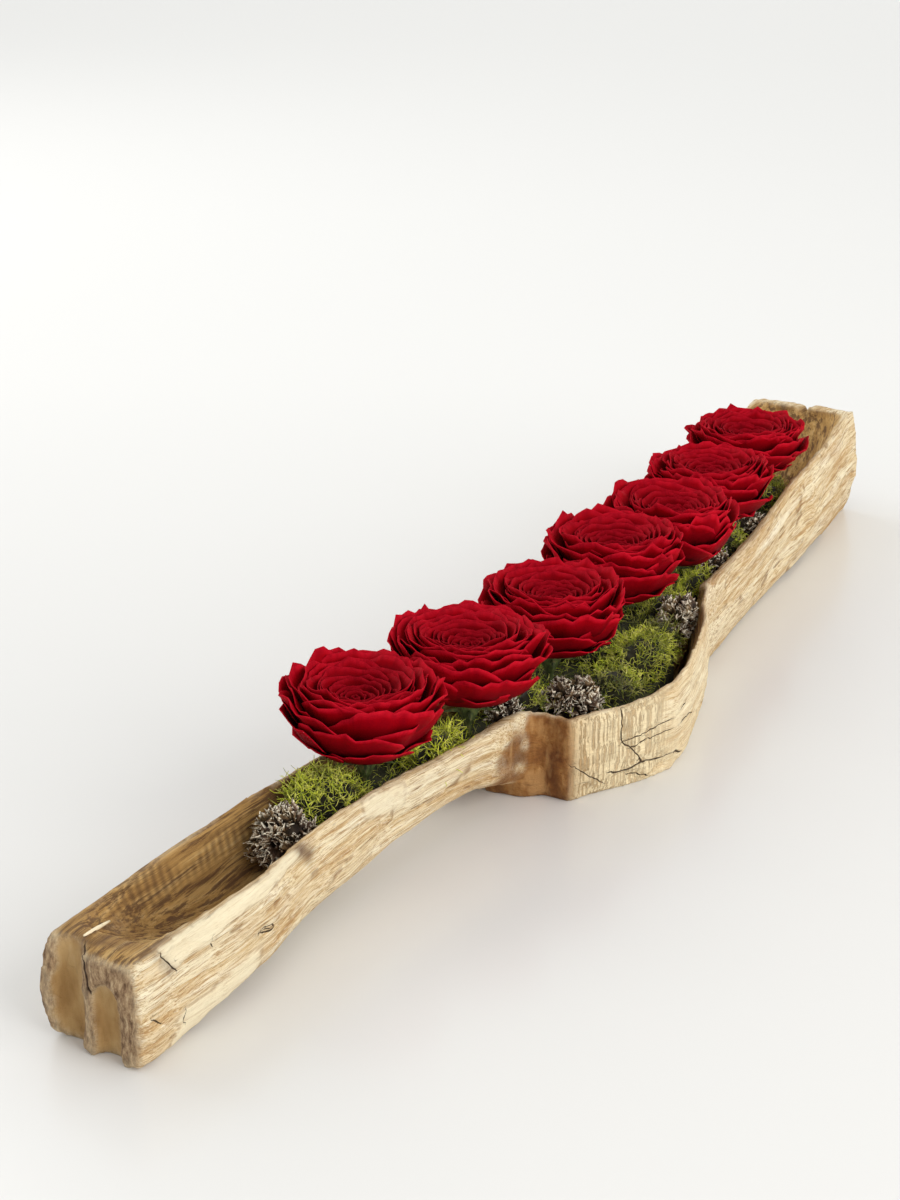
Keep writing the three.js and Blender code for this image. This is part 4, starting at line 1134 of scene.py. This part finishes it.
class CENTERPIECE_OT_stage(bpy.types.Operator):
    """Makes the camera, the pale floor and the soft studio light"""
    bl_idname = "centerpiece.stage"
    bl_label = "Camera, floor and light"

    def execute(self, context):
        scene = context.scene
        data = bpy.data.cameras.new("photo_camera")
        data.lens = CAMERA_LENS
        data.sensor_width = CAMERA_SENSOR
        data.clip_end = 50
        camera = new_object("photo_camera", data)
        camera.location = CAMERA_PLACE
        camera.rotation_euler = Vector(CAMERA_DIRECTION).to_track_quat("-Z", "Y").to_euler()
        scene.camera = camera
        corners = [(sx * FLOOR_REACH, sy * FLOOR_REACH, 0) for sx, sy in ((-1, -1), (1, -1), (1, 1), (-1, 1))]
        floor = new_object("table_top", mesh_from("table_top", corners, [(0, 1, 2, 3)]))
        floor.data.materials.append(pale_floor())
        for name, place, size, power, colour in LIGHTS:
            light = bpy.data.lights.new(name, "AREA")
            light.shape = "SQUARE"
            light.size = size
            light.energy = power
            light.color = linear(colour)[:3]
            lamp = new_object(name, light)
            lamp.location = place
            lamp.rotation_euler = (Vector(LIGHT_AIM) - Vector(place)).to_track_quat("-Z", "Y").to_euler()
        world = bpy.data.worlds.new("pale_room")
        world.use_nodes = True
        sky = world.node_tree
        upward = add(sky, PARTS, {0: add(sky, "ShaderNodeTexCoord").outputs["Generated"]}).outputs[2]
        background = sky.nodes["Background"].inputs
        sky.links.new(node(sky, RAMP, {0: upward}, stops=SKY), background["Color"])
        background["Strength"].default_value = SKY_STRENGTH
        scene.world = world
        scene.view_settings.view_transform = "Standard"
        return {"FINISHED"}


class CENTERPIECE_OT_wood(bpy.types.Operator):
    """Makes the hewn wooden trough"""
    bl_idname = "centerpiece.wood"
    bl_label = "Wooden trough"

    def execute(self, context):
        dress_wood(context.scene.centerpiece_wood, weathered_wood())
        return {"FINISHED"}


class CENTERPIECE_OT_roses(bpy.types.Operator):
    """Makes the seven rose heads, and the finish of their stems"""
    bl_idname = "centerpiece.roses"
    bl_label = "Roses"

    def execute(self, context):
        material = rose_petal()
        for number in range(len(ROSES)):
            rose_head(number, material)
        give_material([f"rose_{number + 1}_stem" for number in range(len(ROSES))], rose_calyx())
        return {"FINISHED"}


class CENTERPIECE_OT_filling(bpy.types.Operator):
    """Makes the clumps of moss and lichen, and the finish of the foam"""
    bl_idname = "centerpiece.filling"
    bl_label = "Moss, lichen and foam"

    def execute(self, context):
        sizes = context.scene.centerpiece_moss
        tree = scatter_tree("standing_sprigs")
        sprigs = form_collection("moss_sprigs", [moss_sprig(seed) for seed in range(1, 6)])
        lobes = form_collection("lichen_lobes", [lichen_lobe(seed) for seed in range(1, 6)])
        moss, lichen = moss_fibre(), lichen_skin()
        for kind, slot, look, forms, density, usual, first_seed in (
                ("moss", "green_moss", moss, sprigs, sizes.moss_density, (0.6, 1.1), 1),
                ("lichen", "grey_lichen", lichen, lobes, sizes.lichen_density, (0.3, 0.9), 41)):
            clumps = [name for name in sorted(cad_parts) if name.startswith(kind)]
            for seed, name in enumerate(clumps, first_seed):
                least, most = SHAGGY.get(name, usual)
                dress_clump(name, tree, {"Forms": forms, "Material": look, "Seed": seed, "Lean": sizes.lean,
                                               "Density": density, "Least Size": least, "Most Size": most})
        for seed, name in enumerate(FOAM, 61):
            cover = remeshed(cad_copy(f"moss_over_{name}", name), COVER_FACE, 0)
            set_attribute(cover.data, "tip", np.zeros(len(cover.data.vertices)))
            scattered(cover, tree, {"Forms": sprigs, "Material": moss, "Seed": seed, "Lean": sizes.lean,
                                    "Density": sizes.cover_density, "Lowest Face": 0.8, "Keep Surface": False})
            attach(cover, BODY)
        give_material(FOAM, floral_foam())
        return {"FINISHED"}


class CENTERPIECE_PT_panel(bpy.types.Panel):
    """Lists the pieces of the centerpiece"""
    bl_idname = "CENTERPIECE_PT_panel"
    bl_label = "Centerpiece"
    bl_space_type = "VIEW_3D"
    bl_region_type = "UI"
    bl_category = "Centerpiece"

    def draw(self, context):
        for operator in OPERATORS:
            self.layout.operator(operator.bl_idname)
        self.layout.prop(context.scene.centerpiece_wood, "face_size")
        for name in ("moss_density", "lichen_density", "cover_density", "lean"):
            self.layout.prop(context.scene.centerpiece_moss, name)


OPERATORS = (CENTERPIECE_OT_stage, CENTERPIECE_OT_wood, CENTERPIECE_OT_roses, CENTERPIECE_OT_filling)
CLASSES = (WoodSizes, MossSizes, *OPERATORS, CENTERPIECE_PT_panel)


def register():
    for each in CLASSES:
        bpy.utils.register_class(each)
    bpy.types.Scene.centerpiece_wood = bpy.props.PointerProperty(type=WoodSizes)
    bpy.types.Scene.centerpiece_moss = bpy.props.PointerProperty(type=MossSizes)


def unregister():
    del bpy.types.Scene.centerpiece_wood
    del bpy.types.Scene.centerpiece_moss
    for each in reversed(CLASSES):
        bpy.utils.unregister_class(each)


def main():
    register()
    for operator in OPERATORS:
        group, name = operator.bl_idname.split(".")
        getattr(getattr(bpy.ops, group), name)()


if __name__ == "__main__":
    main()
